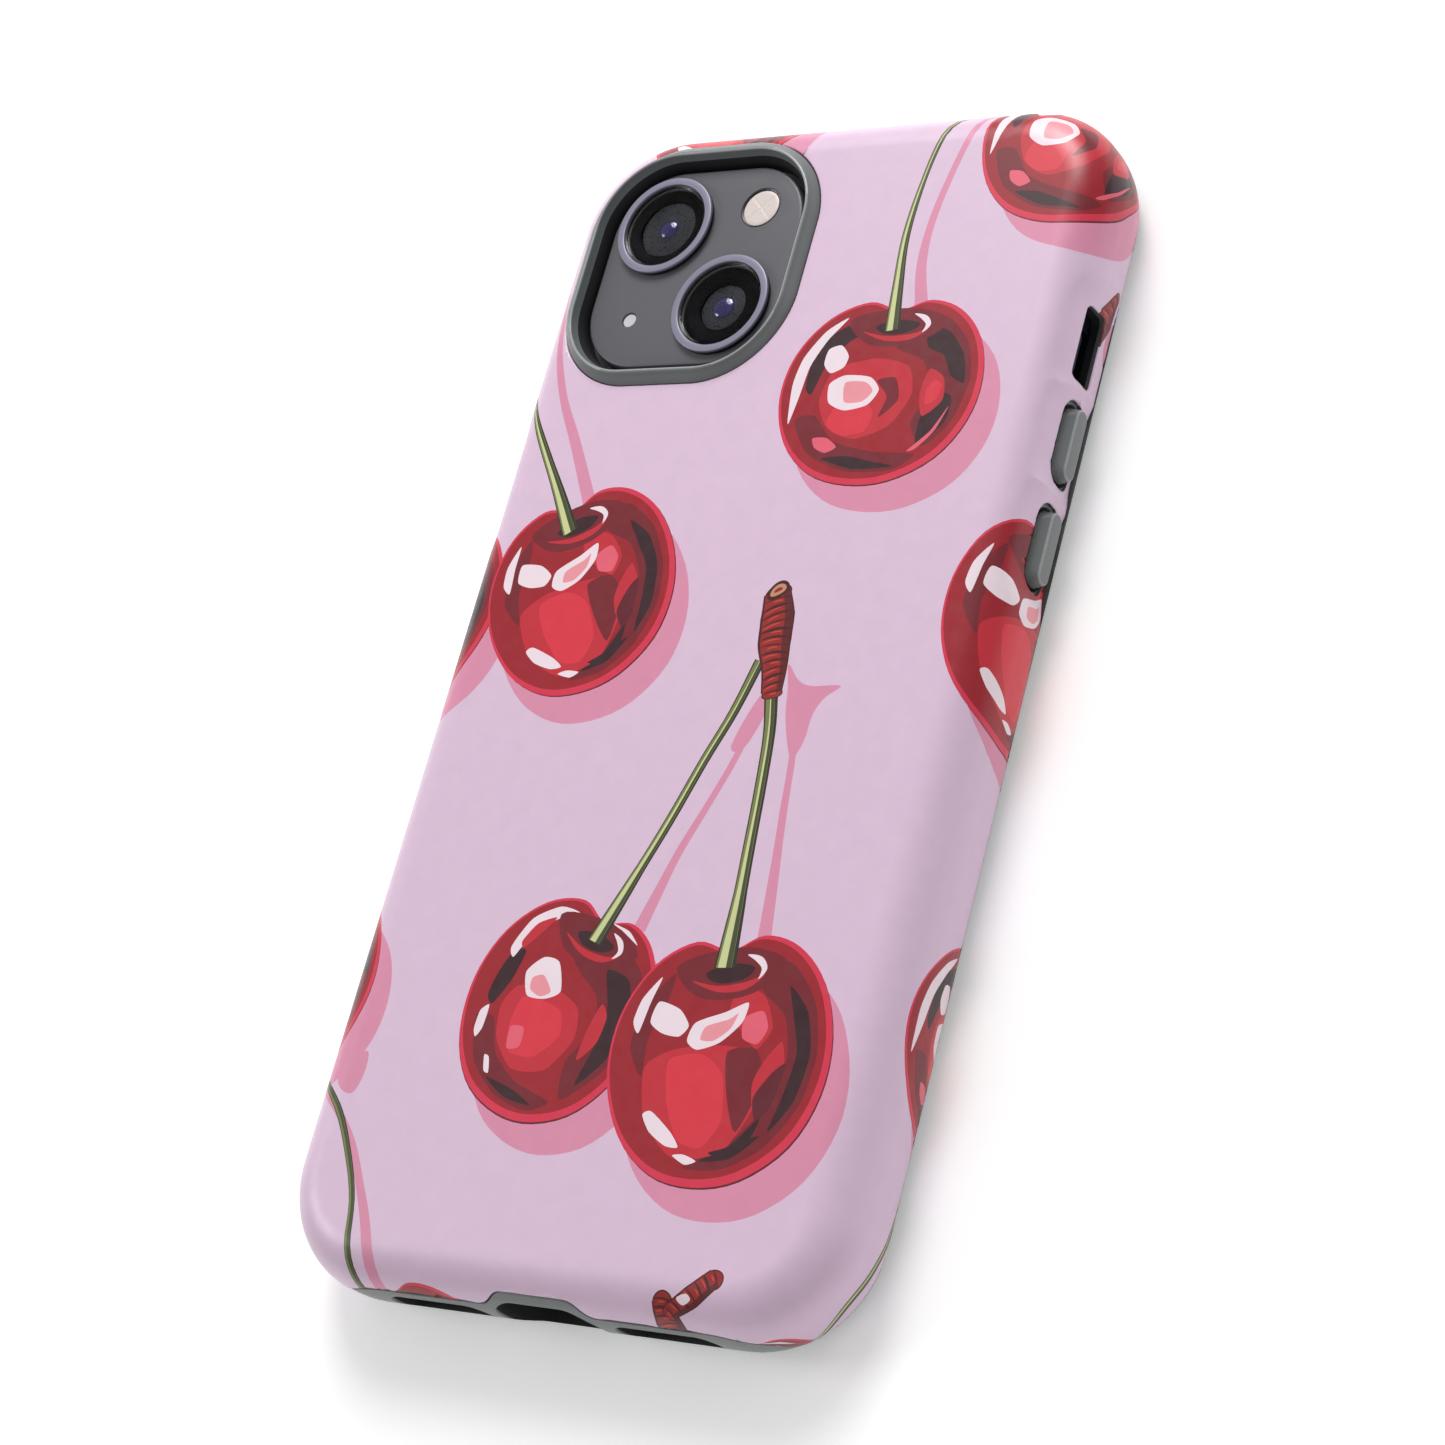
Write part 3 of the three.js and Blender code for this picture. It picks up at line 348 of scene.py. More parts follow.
# Three ways the light falls on a cherry: x,y pairs in hundredths of its half width, stem end up.
LOOKS = {
    "side_lit": [
        (MAROON, [12,80, 50,76, 78,46, 88,6, 80,-36, 58,-62, 40,-36, 52,-2, 36,30, 10,42, -2,60]),
        (DEEP, [34,66, 56,60, 76,34, 83,4, 68,12, 56,34, 38,44]),
        (DEEP, [56,-6, 74,-10, 74,-36, 52,-62, 48,-36]),
        (MAROON, [-78,-30, -56,-66, -14,-86, 32,-86, 52,-70, 10,-66, -32,-54, -58,-26]),
        (DEEP, [-40,-72, -6,-84, 34,-82, 10,-76, -14,-70]),
        (DEEP, [-76,34, -66,58, -46,72, -18,70, -42,54, -60,30, -68,-2, -76,6]),
        (RED, [-50,24, -10,34, 24,24, 34,-6, 20,-38, -12,-52, -42,-40, -58,-10]),
        (MAROON, [-4,10, 14,12, 22,-12, 6,-30, 10,-8]),
        (BRIGHT, [-40,-18, -16,-10, 0,-24, -4,-44, -26,-48, -44,-36]),
        (RED, [46,20, 62,10, 66,-14, 50,-30, 42,-6]),
        (BRIGHT, [54,8, 62,2, 60,-12, 50,-18, 48,-2]),
        (ROSE, [44,-66, 62,-46, 74,-20, 66,-46, 52,-64]),
        (ROSE, [-54,-50, -40,-50, -28,-60, -38,-66, -50,-60]),
        (PALE, [-90,8, -86,38, -70,66, -50,80, -66,56, -77,28, -80,-6, -84,-34]),
        (PALE, [-62,46, -50,50, -40,38, -42,26, -54,20, -63,30]),
        (PALE, [-52,8, -38,17, -12,14, 0,0, -8,-16, -30,-21, -48,-12]),
        (PANEL, [-36,9, -16,9, -6,-1, -14,-12, -32,-12]),
    ],
    "front_lit": [
        (MAROON, [30,78, 60,68, 82,36, 88,-4, 78,-42, 50,-74, 14,-88, -20,-84, 16,-70, 46,-44,
            62,-8, 56,28, 34,50]),
        (DEEP, [58,52, 76,30, 82,-4, 72,-40, 52,-62, 62,-34, 70,-2, 64,26]),
        (DEEP, [-6,-80, 22,-80, 46,-64, 20,-70]),
        (MAROON, [-82,16, -72,50, -48,72, -52,50, -66,20, -68,-10]),
        (RED, [-66,-2, -40,10, 0,10, 34,0, 40,-36, 14,-74, -30,-76, -60,-44]),
        (MAROON, [8,4, 34,4, 42,-22, 24,-60, 12,-30]),
        (BRIGHT, [-44,2, -14,4, 6,-14, 10,-50, -6,-70, -28,-62, -42,-30]),
        (DEEP, [2,-74, 20,-70, 44,-50, 36,-68, 16,-80]),
        (RED, [12,56, 36,46, 46,20, 34,4, 18,20, 6,36]),
        (RED, [42,-6, 56,8, 60,-12, 50,-34, 36,-40, 34,-22]),
        (ROSE, [20,30, 36,34, 42,20, 34,8, 20,14]),
        (EDGE, [36,-34, 50,-16, 62,-10, 52,-42, 40,-52]),
        (PALE, [-66,34, -60,50, -40,42, -30,28, -38,20, -54,24]),
        (PALE, [-30,16, -24,30, 2,36, 22,42, 18,26, 0,12, -20,8]),
        (PANEL, [-18,16, -14,26, 6,30, 14,34, 8,22, -6,14]),
        (PALE, [-62,-40, -54,-38, -34,-56, -26,-68, -38,-66, -54,-54]),
        (PALE, [-30,-74, -20,-74, -8,-80, -18,-82]),
        (PALE, [-82,36, -76,54, -60,70, -68,50, -76,26]),
    ],
    "top_lit": [
        (MAROON, [-10,74, 36,74, 70,56, 86,16, 82,-28, 56,-66, 40,-36, 50,0, 34,26, 4,38, -20,54]),
        (DEEP, [30,50, 58,50, 78,18, 78,-20, 62,-50, 60,-14, 52,20]),
        (MAROON, [-76,-34, -52,-70, -12,-88, 28,-88, 46,-72, 2,-70, -34,-56, -56,-30]),
        (DEEP, [-30,-78, 0,-86, 30,-82, 4,-77]),
        (RED, [-50,4, -14,16, 22,10, 36,-16, 24,-50, -10,-62, -42,-44, -56,-18]),
        (BRIGHT, [-38,-2, 4,2, 20,-18, 6,-44, -22,-50, -36,-30]),
        (ROSE, [-34,-30, -20,-26, -14,-42, -26,-48]),
        (RED, [44,22, 56,14, 60,-10, 50,-30, 44,-4]),
        (DEEP, [-78,10, -74,30, -62,34, -60,6, -66,-20, -76,-14]),
        (PALE, [-80,32, -74,62, -52,82, -30,84, -44,74, -60,60, -68,40, -72,24]),
        (RED, [-72,40, -66,60, -50,72, -56,56, -66,36]),
        (PALE, [-50,18, -40,36, -22,38, -4,16, -16,4, -36,0]),
        (PANEL, [-40,16, -30,22, -14,12, -22,4, -36,6]),
        (PALE, [-74,-30, -68,-22, -62,-42, -64,-52, -70,-46]),
        (PALE, [-44,-62, -38,-62, -30,-74, -36,-74]),
        (PALE, [10,88, 30,88, 46,80, 30,84]),
    ],
}
# The hollow round the stem, in hundredths of the berry's half width from its middle.
DIMPLE_AT = (0.02, 0.66)
DIMPLE = [
    (MAROON, [(-50, 10), (-20, 20), (20, 20), (50, 6), (30, -14), (0, -20), (-30, -14)]),
    (RED, [(-34, -2), (-10, -13), (16, -13), (32, -2), (16, -7), (-10, -8)]),
    (DEEP, [(-22, 3), (0, 9), (22, 4), (12, -5), (-10, -6)]),
    (PALE, [(14, 15), (27, 12), (33, 2), (26, -6), (28, 2), (22, 9)]),
]

# Middle, half size, tilt and light of each cherry, in the order they are drawn.
BERRIES = [
    ((-19.5, 80.0), (12.0, 12.0), 10, "front_lit"),
    ((32.6, 71.0), (12.6, 12.6), -8, "side_lit"),
    ((44.5, 8.0), (13.2, 13.9), 8, "front_lit"),
    ((50.5, -39.6), (11.6, 11.6), -6, "side_lit"),
    ((-44.0, 8.7), (12.0, 12.2), -12, "top_lit"),
    ((-44.0, -40.0), (10.6, 11.0), 0, "side_lit"),
    ((-18.0, -88.0), (12.5, 12.5), 14, "front_lit"),
    ((28.0, -89.0), (12.0, 12.0), 0, "top_lit"),
    ((14.8, 36.6), (13.7, 12.5), 0, "side_lit"),
    ((-19.9, 10.4), (13.1, 13.9), 22, "front_lit"),
    ((-6.3, -42.3), (12.9, 13.2), -18, "top_lit"),
    ((17.2, -46.4), (14.2, 14.7), 9, "front_lit"),
]
# Points from the cherry outwards, width at the cherry, width beyond. The first two come from
# cherries off the end; the others go with the last four cherries.
STEMS = [
    ([(-24.6, -78.6), (-25.6, -73.4), (-26.9, -66.8), (-29.7, -61.0), (-33.1, -56.0), (-37.2, -53.0),
      (-42.0, -51.2), (-49.0, -50.0)], 1.3, 0.95),
    ([(34.0, -84.0), (37.4, -79.1), (40.4, -73.1), (43.4, -67.9), (46.0, -61.0), (48.5, -53.0)],
     1.6, 1.1),
    ([(14.4, 44.6), (13.6, 50.4), (12.8, 57.6), (13.2, 65.4), (14.3, 71.6), (16.6, 78.5),
      (19.0, 83.0)], 2.1, 0.8),
    ([(-24.1, 18.4), (-27.5, 23.7), (-31.4, 29.4), (-34.8, 34.4), (-37.4, 38.0), (-41.5, 42.6),
      (-48.5, 48.0)], 2.3, 1.0),
    ([(-3.4, -34.0), (-0.4, -26.0), (2.2, -18.9), (4.7, -11.2), (6.9, -5.1), (8.6, 1.4)], 2.2, 1.35),
    ([(15.0, -36.0), (14.5, -28.4), (13.9, -21.5), (13.3, -14.6), (12.5, -7.7), (11.3, -2.6)],
     2.8, 1.6),
]
STEM_SHADOWS = [
    [(17.6, 47.6), (16.1, 53.3), (15.9, 59.0), (16.8, 65.4), (18.6, 73.1), (20.6, 79.5)],
    [(-22.6, 22.6), (-27.5, 31.0), (-31.4, 37.4), (-34.8, 45.4), (-37.2, 54.0), (-41.0, 62.0),
     (-48.5, 70.0)],
    [(2.2, -32.2), (3.4, -27.5), (4.8, -22.3), (6.9, -16.6), (9.0, -10.3), (10.6, -2.6)],
    [(19.2, -33.0), (18.1, -24.1), (17.2, -17.2), (16.4, -10.3), (15.3, -5.6)],
    [(-21.6, -78.6), (-23.2, -71.3), (-26.4, -65.0), (-30.1, -59.3), (-35.0, -55.0), (-41.0, -52.6),
     (-49.0, -51.8)],
]
KNOT_SHADOWS = [
    [(14.2, -6.0), (13.4, -2.2), (12.6, 1.0), (14.4, -0.9), (16.4, -1.7), (20.4, -1.6), (18.6, -3.2),
     (17.6, -5.4), (17.4, -8.6), (16.2, -10.6)],
    [(9.4, -4.0), (11.0, -2.0), (11.2, -5.4), (9.6, -9.6), (7.8, -9.4)],
    [(-34.6, -50.6), (-32.6, -49.8), (-30.9, -49.2), (-30.6, -52.0), (-31.6, -54.4), (-34.0, -53.4)],
    [(45.6, 48.8), (46.6, 50.0), (47.6, 47.0), (46.8, 44.6), (45.6, 46.0)],
]
# Low end, high end, widths between them, number of ribs, and whether the high end is cut.
KNOTS = [
    ((11.4, -2.6), (8.5, 10.2), (2.8, 3.5, 4.5, 4.6, 3.6), 13, True),
    ((18.4, -79.5), (17.8, -73.6), (4.2, 3.8, 2.6), 6, False),
    ((18.6, -75.0), (24.2, -70.7), (1.9, 2.5, 2.3), 6, False),
    ((43.4, 46.8), (44.8, 52.4), (2.6, 3.8, 1.8), 5, False),
]
KNOT_GLINT = [(19.6, -73.2), (20.8, -72.6), (21.4, -73.2), (20.4, -73.9)]
SHADOW_FALL = (3.1, -3.6)


class Art:
    """Filled outlines in flat coordinates, laid one over another."""

    def __init__(self):
        self.shapes = []

    def fill(self, colour, points, per=4, tight=0.5):
        self.shapes.append((colour, smooth(points, True, per, tight)))

    def ribbon(self, colour, points, widths, shift=0.0):
        """A line that varies in width, moved sideways by shift of its half width."""
        path = smooth(points, per=5)
        side = leftwards(path)
        half = np.interp(np.linspace(0, 1, len(path)), np.linspace(0, 1, len(widths)), widths) / 2
        centre = path + side * (shift * half)[:, None]
        own = side * (half * (1 - abs(shift)))[:, None]
        self.shapes.append((colour, np.vstack([centre + own, (centre - own)[::-1]])))


def turned(points, centre, size, tilt):
    """Unit points scaled, tilted anticlockwise and moved to a cherry's place."""
    c, s = math.cos(math.radians(tilt)), math.sin(math.radians(tilt))
    return np.asarray(points, float) * size @ np.array([[c, s], [-s, c]]) + centre


def berry(art, centre, size, tilt, look):
    def put(colour, points, per=4, tight=0.5):
        art.fill(colour, turned(points, centre, size, tilt), per, tight)

    outline = np.array(OUTLINE)
    put(EDGE, outline + (0.01, -0.016))
    put(RIM, outline, 5)
    put(BODY, outline * (0.96, 0.952) + (-0.018, 0.018), 5)
    for colour, points in LOOKS[look]:
        put(colour, np.reshape(points, (-1, 2)) / 100, 5, 0.34)
    for colour, points in DIMPLE:
        put(colour, np.array(points) / 100 + DIMPLE_AT)


def stem(art, points, base, tip, lit=True):
    """A cherry stem from its berry outwards: dark, then its green and its lit strip."""
    art.ribbon(STEM_DARK, points, (base, base * 0.62, tip, tip, tip * 1.15))
    art.ribbon(STEM, points, (base * 0.84, base * 0.54, tip * 0.8, tip * 0.8, tip * 0.84), 0.12)
    art.ribbon(STEM_SHADE, points, (base * 0.6, base * 0.36, tip * 0.5, tip * 0.56, tip * 0.6), -0.3)
    if lit:
        widths = (base * 0.66, base * 0.34, tip * 0.34, tip * 0.28, tip * 0.14)
        art.ribbon(STEM_LIGHT, points, widths, 0.44)


def knot(art, low, high, widths, ribs, cut):
    """The woody end of a stem: a rounded stub with curved ribs, and a pale end where it was cut."""
    low, high = np.array(low), np.array(high)
    length = np.hypot(*(high - low))
    along = (high - low) / length
    side = np.array([-along[1], along[0]])
    spots = np.linspace(0, 1, len(widths))
    round_once = np.arange(14) / 14 * 4 * QUARTER

    def rib(colour, centre, wide, tall, lean, shift=0.0):
        across = shift * wide + wide * np.cos(round_once)
        up = tall * np.sin(round_once) + lean * across - 0.16 * across**2 / max(wide, 0.1)
        art.fill(colour, centre + across[:, None] * -side + up[:, None] * along, 3)

    path = [low + (high - low) * t + side * 0.1 * (-1) ** k for k, t in enumerate(spots)]
    for colour, share, shift in ((WOOD_DARK, 1, 0), (WOOD, 0.86, 0.04), (WOOD_SHADE, 0.9, -0.74)):
        if colour != WOOD_SHADE:
            rib(colour, low, widths[0] / 2 * share, 0.8 * share, 0)
            rib(colour, high, widths[-1] / 2 * share * 1.03, 1.1 * share, 0.1)
        art.ribbon(colour, path, [w * share for w in widths], shift)
    for k in range(ribs + 1):
        half = np.interp(k / ribs, spots, widths) / 2
        centre = low + along * (length / ribs * k)
        lean = 0.14 * math.sin(0.7 * k + 0.5)
        lit, lit_shift = 0.52 if k % 2 else 0.34, -0.5 if k % 4 else 0.1
        rib(WOOD_DARK, centre + along * 0.2, half * 0.9, 0.1 + 0.05 * (k % 3), lean)
        rib(WOOD_LIGHT, centre - along * 0.16, half * lit, 0.1, lean, lit_shift)
    if cut:
        for colour, wide, tall in (
                (WOOD_DARK, 0.42, 0.3), (WOOD_END, 0.3, 0.19), (WOOD, 0.16, 0.07)):
            rib(colour, high + along * 0.3, widths[-1] * wide, widths[-1] * tall, 0.25)


def draw_print():
    art = Art()
    for centre, size, tilt, _ in BERRIES:
        art.fill(SHADE, turned(OUTLINE, np.add(centre, SHADOW_FALL), size, tilt))
    for points in STEM_SHADOWS:
        art.ribbon(SHADE, points, (1.8, 1.1, 0.9, 0.9))
    for points in KNOT_SHADOWS:
        art.fill(SHADE, points)
    for values in BERRIES[:8]:
        berry(art, *values)
    stem(art, *STEMS[0], lit=False)
    stem(art, *STEMS[1])
    for values, stalk in zip(BERRIES[8:], STEMS[2:]):
        berry(art, *values)
        stem(art, *stalk)
    for values in KNOTS[:3]:
        knot(art, *values)
    art.fill(PALE, KNOT_GLINT)
    knot(art, *KNOTS[3])
    return art.shapes


# ---- Mesh making

HOME = "case_and_phone"
BARE = (84, 86, 88)


def linear(colour):
    c = np.asarray(colour, float) / 255
    return np.where(c <= 0.04045, c / 12.92, ((c + 0.055) / 1.055) ** 2.4)


def mesh_object(name, vertices, faces):
    mesh = bpy.data.meshes.new(name)
    mesh.from_pydata([tuple(v) for v in np.asarray(vertices, float) * MM], [], faces)
    mesh.update()
    obj = bpy.data.objects.new(name, mesh)
    bpy.context.scene.collection.objects.link(obj)
    return obj


def give(obj, *materials):
    obj.data.materials.clear()
    for material in materials:
        obj.data.materials.append(material)


def settle(obj, body, slot, node, *materials):
    """Makes a mesh one of the model's pieces, in place of a CAD node."""
    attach(obj, body)
    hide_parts(node)
    give(obj, *materials)


def soften(obj, angle):
    obj.data.shade_smooth()
    obj.data.set_sharp_from_angle(angle=math.radians(angle))


def solid(data, name="cutter"):
    """An object from points and faces, with its faces turned outwards as combining needs."""
    obj = mesh_object(name, *data)
    work = bmesh.new()
    work.from_mesh(obj.data)
    bmesh.ops.recalc_face_normals(work, faces=work.faces[:])
    work.to_mesh(obj.data)
    work.free()
    return obj


def combine(base, others, operation):
    for other in others:
        cut = base.modifiers.new("cut", "BOOLEAN")
        cut.operation, cut.solver, cut.object = operation, "MANIFOLD", other
    bpy.context.view_layer.update()
    depsgraph = bpy.context.evaluated_depsgraph_get()
    result = bpy.data.meshes.new_from_object(base.evaluated_get(depsgraph))
    base.modifiers.clear()
    old, base.data = base.data, result
    bpy.data.meshes.remove(old)
    for other in others:
        bpy.data.objects.remove(other)
    return base


def joined(rows):
    """Faces between neighbouring rings of point numbers. A ring of one point is a tip."""
    faces = []
    for low, high in zip(rows, rows[1:]):
        count = max(len(low), len(high))
        for i in range(count):
            j = (i + 1) % count
            face = (low[i % len(low)], low[j % len(low)], high[j % len(high)], high[i % len(high)])
            faces.append(tuple(dict.fromkeys(face)))
    return faces


def loft_data(layers, steps=12, centre=(0, 0), capped=True):
    """A solid through rounded rectangles (z, half x, half y, corner), or a ring of them."""
    vertices = np.vstack([
        np.column_stack([loop, np.full(len(loop), z)]) for z, loop in (
            (z, rounded_loop((hx, hy), corner, steps, None, centre)) for z, hx, hy, corner in layers)
    ])
    rows = np.arange(len(vertices)).reshape(len(layers), -1).tolist()
    if not capped:
        return vertices, joined(rows + rows[:1])
    return vertices, [tuple(rows[0][::-1]), *joined(rows), tuple(rows[-1])]


def block(half_x, half_y, corner, low, high, steps=8):
    return loft_data([(low, half_x, half_y, corner), (high, half_x, half_y, corner)], steps)


def to_side(data, side, x, y, z):
    """Turns a loft drawn with height along X and length along Y to point out of a side."""
    v, faces = data
    return np.column_stack([side * v[:, 2], v[:, 1], -side * v[:, 0]]) + (side * x, y, z), faces


def to_bottom(data, x, y, z):
    """Turns a loft drawn in X and Y to point out of the bottom end."""
    v, faces = data
    return np.column_stack([v[:, 0], -v[:, 2], v[:, 1]]) + (x, y, z), faces


def turn_data(section, centre, segments=96):
    """A solid of revolution about a vertical axis from (radius, z) pairs round its section.
    A section that starts on the axis also ends there. Any other is a ring's section."""
    rows, vertices = [], []
    for radius, z in section:
        count = segments if radius else 1
        rows.append(range(len(vertices), len(vertices) + count))
        angle = np.arange(count) / segments * 4 * QUARTER
        x, y = centre[0] + radius * np.cos(angle), centre[1] + radius * np.sin(angle)
        vertices += zip(x, y, [z] * count)
    if section[0][0]:
        rows.append(rows[0])
    return np.array(vertices), joined(rows)


def lathe(name, section, centre, material, slot, node, segments=96):
    obj = solid(turn_data(section, centre, segments), name)
    soften(obj, 30)
    settle(obj, HOME, slot, node, material)


# ---- Printed shell

EDGE_SPACING, WALL_SPACING, BACK_SPACING = 1.2, 2.4, (5.0, 5.5)
MERGE_DISTANCE, SMALLEST_AREA = 1e-4, 1e-7


def plane_mesh(shapes):
    """Triangles over the shell's flat domain whose edges follow every outline of the print."""
    points, edges = [], []

    def dots(line):
        points.extend(map(tuple, line))

    def trace(line, closed=True):
        start, count = len(points), len(line)
        dots(line)
        edges.extend((start + i, start + (i + 1) % count) for i in range(count - (not closed)))

    def outline(d, spacing):
        steps = max(8, round((FLAT_CORNER + d) * 1.6 / 0.9))
        return rounded_loop(FLAT + d, FLAT_CORNER + d, steps, spacing)

    for _, shape in shapes:
        trace(shape)
    trace(outline(SPREAD, EDGE_SPACING))
    for d in (0.06, 0.14, END_EDGE):
        dots(outline(SPREAD - d, EDGE_SPACING))
    for d in np.linspace(0, SPREAD - 0.5, 22):
        dots(outline(d, WALL_SPACING))
    trace(CUT_EDGE, closed=False)
    for grow in (0.05, 0.12, 0.2, END_EDGE):
        dots(CUT_EDGE + leftwards(CUT_EDGE) * grow)
    for hole in HOLES:
        trace(hole.loop())
        for part in (0.12, 0.35, 0.65, 1.0):
            dots(hole.loop(TOP_EDGE * part))
        if hole.dish:
            for grow in (0.5, 0.8, 1.2, 1.6, 2.1, 2.6, 3.2, 3.8, 4.3):
                dots(hole.loop(grow, 1.0))
    xs, ys = np.meshgrid(np.arange(-30, 31, BACK_SPACING[0]), np.arange(-66, 67, BACK_SPACING[1]))
    dots(np.column_stack([xs.ravel(), ys.ravel()]))

    found = delaunay_2d_cdt([Vector(p) for p in points], edges, [], 0, MERGE_DISTANCE)
    flat, triangles = np.array([tuple(v) for v in found[0]]), np.array(found[2])
    centre = flat[triangles].mean(axis=1)
    keep = (past_flat(centre)[0] < SPREAD) & ~inside(centre, CUT_AREA)
    for hole in HOLES:
        keep &= hole.distance(centre) > 0
    triangles = triangles[keep]
    a, b, c = (flat[triangles[:, i]] for i in range(3))
    area = np.cross(b - a, c - a)
    triangles[area < 0] = triangles[area < 0][:, ::-1]
    triangles = triangles[np.abs(area) > SMALLEST_AREA]
    centre = flat[triangles].mean(axis=1)
    used, new = np.unique(triangles, return_inverse=True)
    return flat[used], new.reshape(-1, 3), centre


def paint(centre, shapes):
    """The topmost outline's colour at each face."""
    colours = np.tile(np.array(LILAC, float), (len(centre), 1))
    for colour, shape in shapes:
        low, high = shape.min(axis=0), shape.max(axis=0)
        near = np.flatnonzero(((centre >= low) & (centre <= high)).all(axis=1))
        if len(near):
            colours[near[inside(centre[near], shape)]] = colour
    return colours


def bake_places(flat, triangles, rim_count):
    """Where each corner of the shell goes on the OFBake map: the print largest, then the inside,
    then the rims, each in a small square of its own."""
    scale = 0.97 / (2 * (FLAT[1] + SPREAD))
    inner_scale = scale * 0.72
    outside = flat[triangles.ravel()] * scale + (0.02 + (FLAT[0] + SPREAD) * scale, 0.5)
    within = flat[triangles[:, ::-1].ravel()] * inner_scale
    within += (0.98 - (FLAT[0] + SPREAD) * inner_scale, 0.42)
    square = np.array([(0, 0), (1, 0), (1, 1), (0, 1)]) * 0.012
    spots = ((0.62 + 0.016 * (k % 20), 0.86 + 0.016 * (k // 20 % 6)) for k in range(rim_count))
    return np.vstack([outside, within, *(square + spot for spot in spots)])


def make_shell():
    shapes = draw_print()
    flat, triangles, centre = plane_mesh(shapes)
    outer, tilted, plain, normal = shell_points(flat)
    thick = WALL + (BACK - WALL) * np.clip(normal[:, 2:], 0, 1)
    places = np.vstack([outer, plain - normal * thick])
    count = len(flat)
    edges = {edge: None for a, b, c in triangles.tolist() for edge in ((a, b), (b, c), (c, a))}
    rims = [(a, b) for a, b in edges if (b, a) not in edges]
    faces = triangles.tolist() + (triangles[:, ::-1] + count).tolist()
    faces += [(b, a, a + count, b + count) for a, b in rims]
    obj = mesh_object("printed_shell", places, faces)
    settle(obj, HOME, "printed_shell", "outer_shell", printed_surface())

    a, b = np.array(rims).T
    across = np.cross(places[a] - places[b], places[a + count] - places[b])
    across /= np.maximum(np.linalg.norm(across, axis=1), 1e-9)[:, None]
    normals = np.vstack([
        tilted[triangles.ravel()], -normal[triangles[:, ::-1].ravel()],
        np.repeat(across, 4, axis=0),
    ])
    mesh = obj.data
    mesh.shade_smooth()
    mesh.normals_split_custom_set([tuple(n) for n in normals])

    bare = np.tile(np.array(BARE, float), (3 * len(triangles) + 4 * len(rims), 1))
    colours = np.vstack([np.repeat(paint(centre, shapes), 3, axis=0), bare])
    rgba = np.column_stack([linear(colours), np.ones(len(colours))])
    layer = mesh.color_attributes.new("print", "FLOAT_COLOR", "CORNER")
    layer.data.foreach_set("color", rgba.astype(np.float32).ravel())
    uv = mesh.uv_layers.new(name="OFBake")
    places = bake_places(flat, triangles, len(rims))
    uv.data.foreach_set("uv", places.astype(np.float32).ravel())


# ---- Materials


def set_inputs(tree, node, values):
    """Sets a node's sockets, each to a number or colour, or to another node's output."""
    for name, value in values.items():
        if isinstance(value, bpy.types.NodeSocket):
            tree.links.new(value, node.inputs[name])
        else:
            node.inputs[name].default_value = value


def add_node(tree, kind, values, output):
    node = tree.nodes.new("ShaderNode" + kind)
    set_inputs(tree, node, values)
    return node.outputs[output]


def shader(name):
    material = bpy.data.materials.new(name)
    material.use_nodes = True
    tree = material.node_tree
    return material, tree, tree.nodes["Principled BSDF"]


def noise(tree, scale, detail=4.0, roughness=0.55):
    """Noise in the piece's own coordinates; scale is in repeats per metre."""
    return add_node(tree, "TexNoise", {
        "Vector": add_node(tree, "TexCoord", {}, "Object"),
        "Scale": scale, "Detail": detail, "Roughness": roughness,
    }, "Fac")


def ranged(tree, value, low, high, start=0.3, end=0.7):
    return add_node(tree, "MapRange", {
        "Value": value, "From Min": start, "From Max": end, "To Min": low, "To Max": high,
    }, "Result")


def mixed(tree, a, b, factor, blend="MIX"):
    node = tree.nodes.new("ShaderNodeMix")
    node.data_type, node.blend_type = "RGBA", blend
    set_inputs(tree, node, {"A": a, "B": b, "Factor": factor})
    return node.outputs["Result"]


def bump(tree, height, depth_mm, strength=1.0):
    values = {"Height": height, "Distance": depth_mm * MM, "Strength": strength}
    return add_node(tree, "Bump", values, "Normal")


def surface(name, colour, roughness, vary, grain, depth, metal=0.0, rough_vary=0.06, coat=0.0,
            patch=160, specular=0.5):
    """A moulded, coated or machined surface: uneven colour and gloss, and a fine grain."""
    material, tree, bsdf = shader(name)
    base = linear(colour)
    dark, light = (*(base * (1 - vary)), 1), (*np.minimum(base * (1 + vary), 1), 1)
    fine = noise(tree, grain, 3.0)
    set_inputs(tree, bsdf, {
        "Base Color": mixed(tree, dark, light, noise(tree, patch)),
        "Roughness": ranged(tree, fine, roughness - rough_vary, roughness + rough_vary),
        "Normal": bump(tree, fine, depth),
        "Metallic": metal,
        "Specular IOR Level": specular,
    })
    if coat:
        set_inputs(tree, bsdf, {"Coat Weight": coat, "Coat Roughness": 0.06})
    return material


def printed_surface():
    """Ink under a satin clear coat: the print's colours, faintly mottled, with orange peel."""
    material, tree, bsdf = shader("printed_plastic")
    ink = tree.nodes.new("ShaderNodeAttribute")
    ink.attribute_name = "print"
    level = ranged(tree, noise(tree, 420), 0.965, 1.0)
    tone = add_node(tree, "CombineColor", {"Red": level, "Green": level, "Blue": level}, "Color")
    peel = noise(tree, 700, 2.0, 0.4)
    set_inputs(tree, bsdf, {
        "Base Color": mixed(tree, ink.outputs["Color"], tone, 1.0, "MULTIPLY"),
        "Roughness": ranged(tree, peel, 0.3, 0.38),
        "Normal": bump(tree, peel, 0.012, 0.5),
        "Specular IOR Level": 0.45,
    })
    return material


def clear_glass():
    material, tree, bsdf = shader("clear_cover_glass")
    set_inputs(tree, bsdf, {
        "Base Color": (0.93, 0.94, 0.97, 1), "Transmission Weight": 1.0, "IOR": 1.1,
        "Roughness": ranged(tree, noise(tree, 900, 2.0), 0.0, 0.008),
    })
    return material


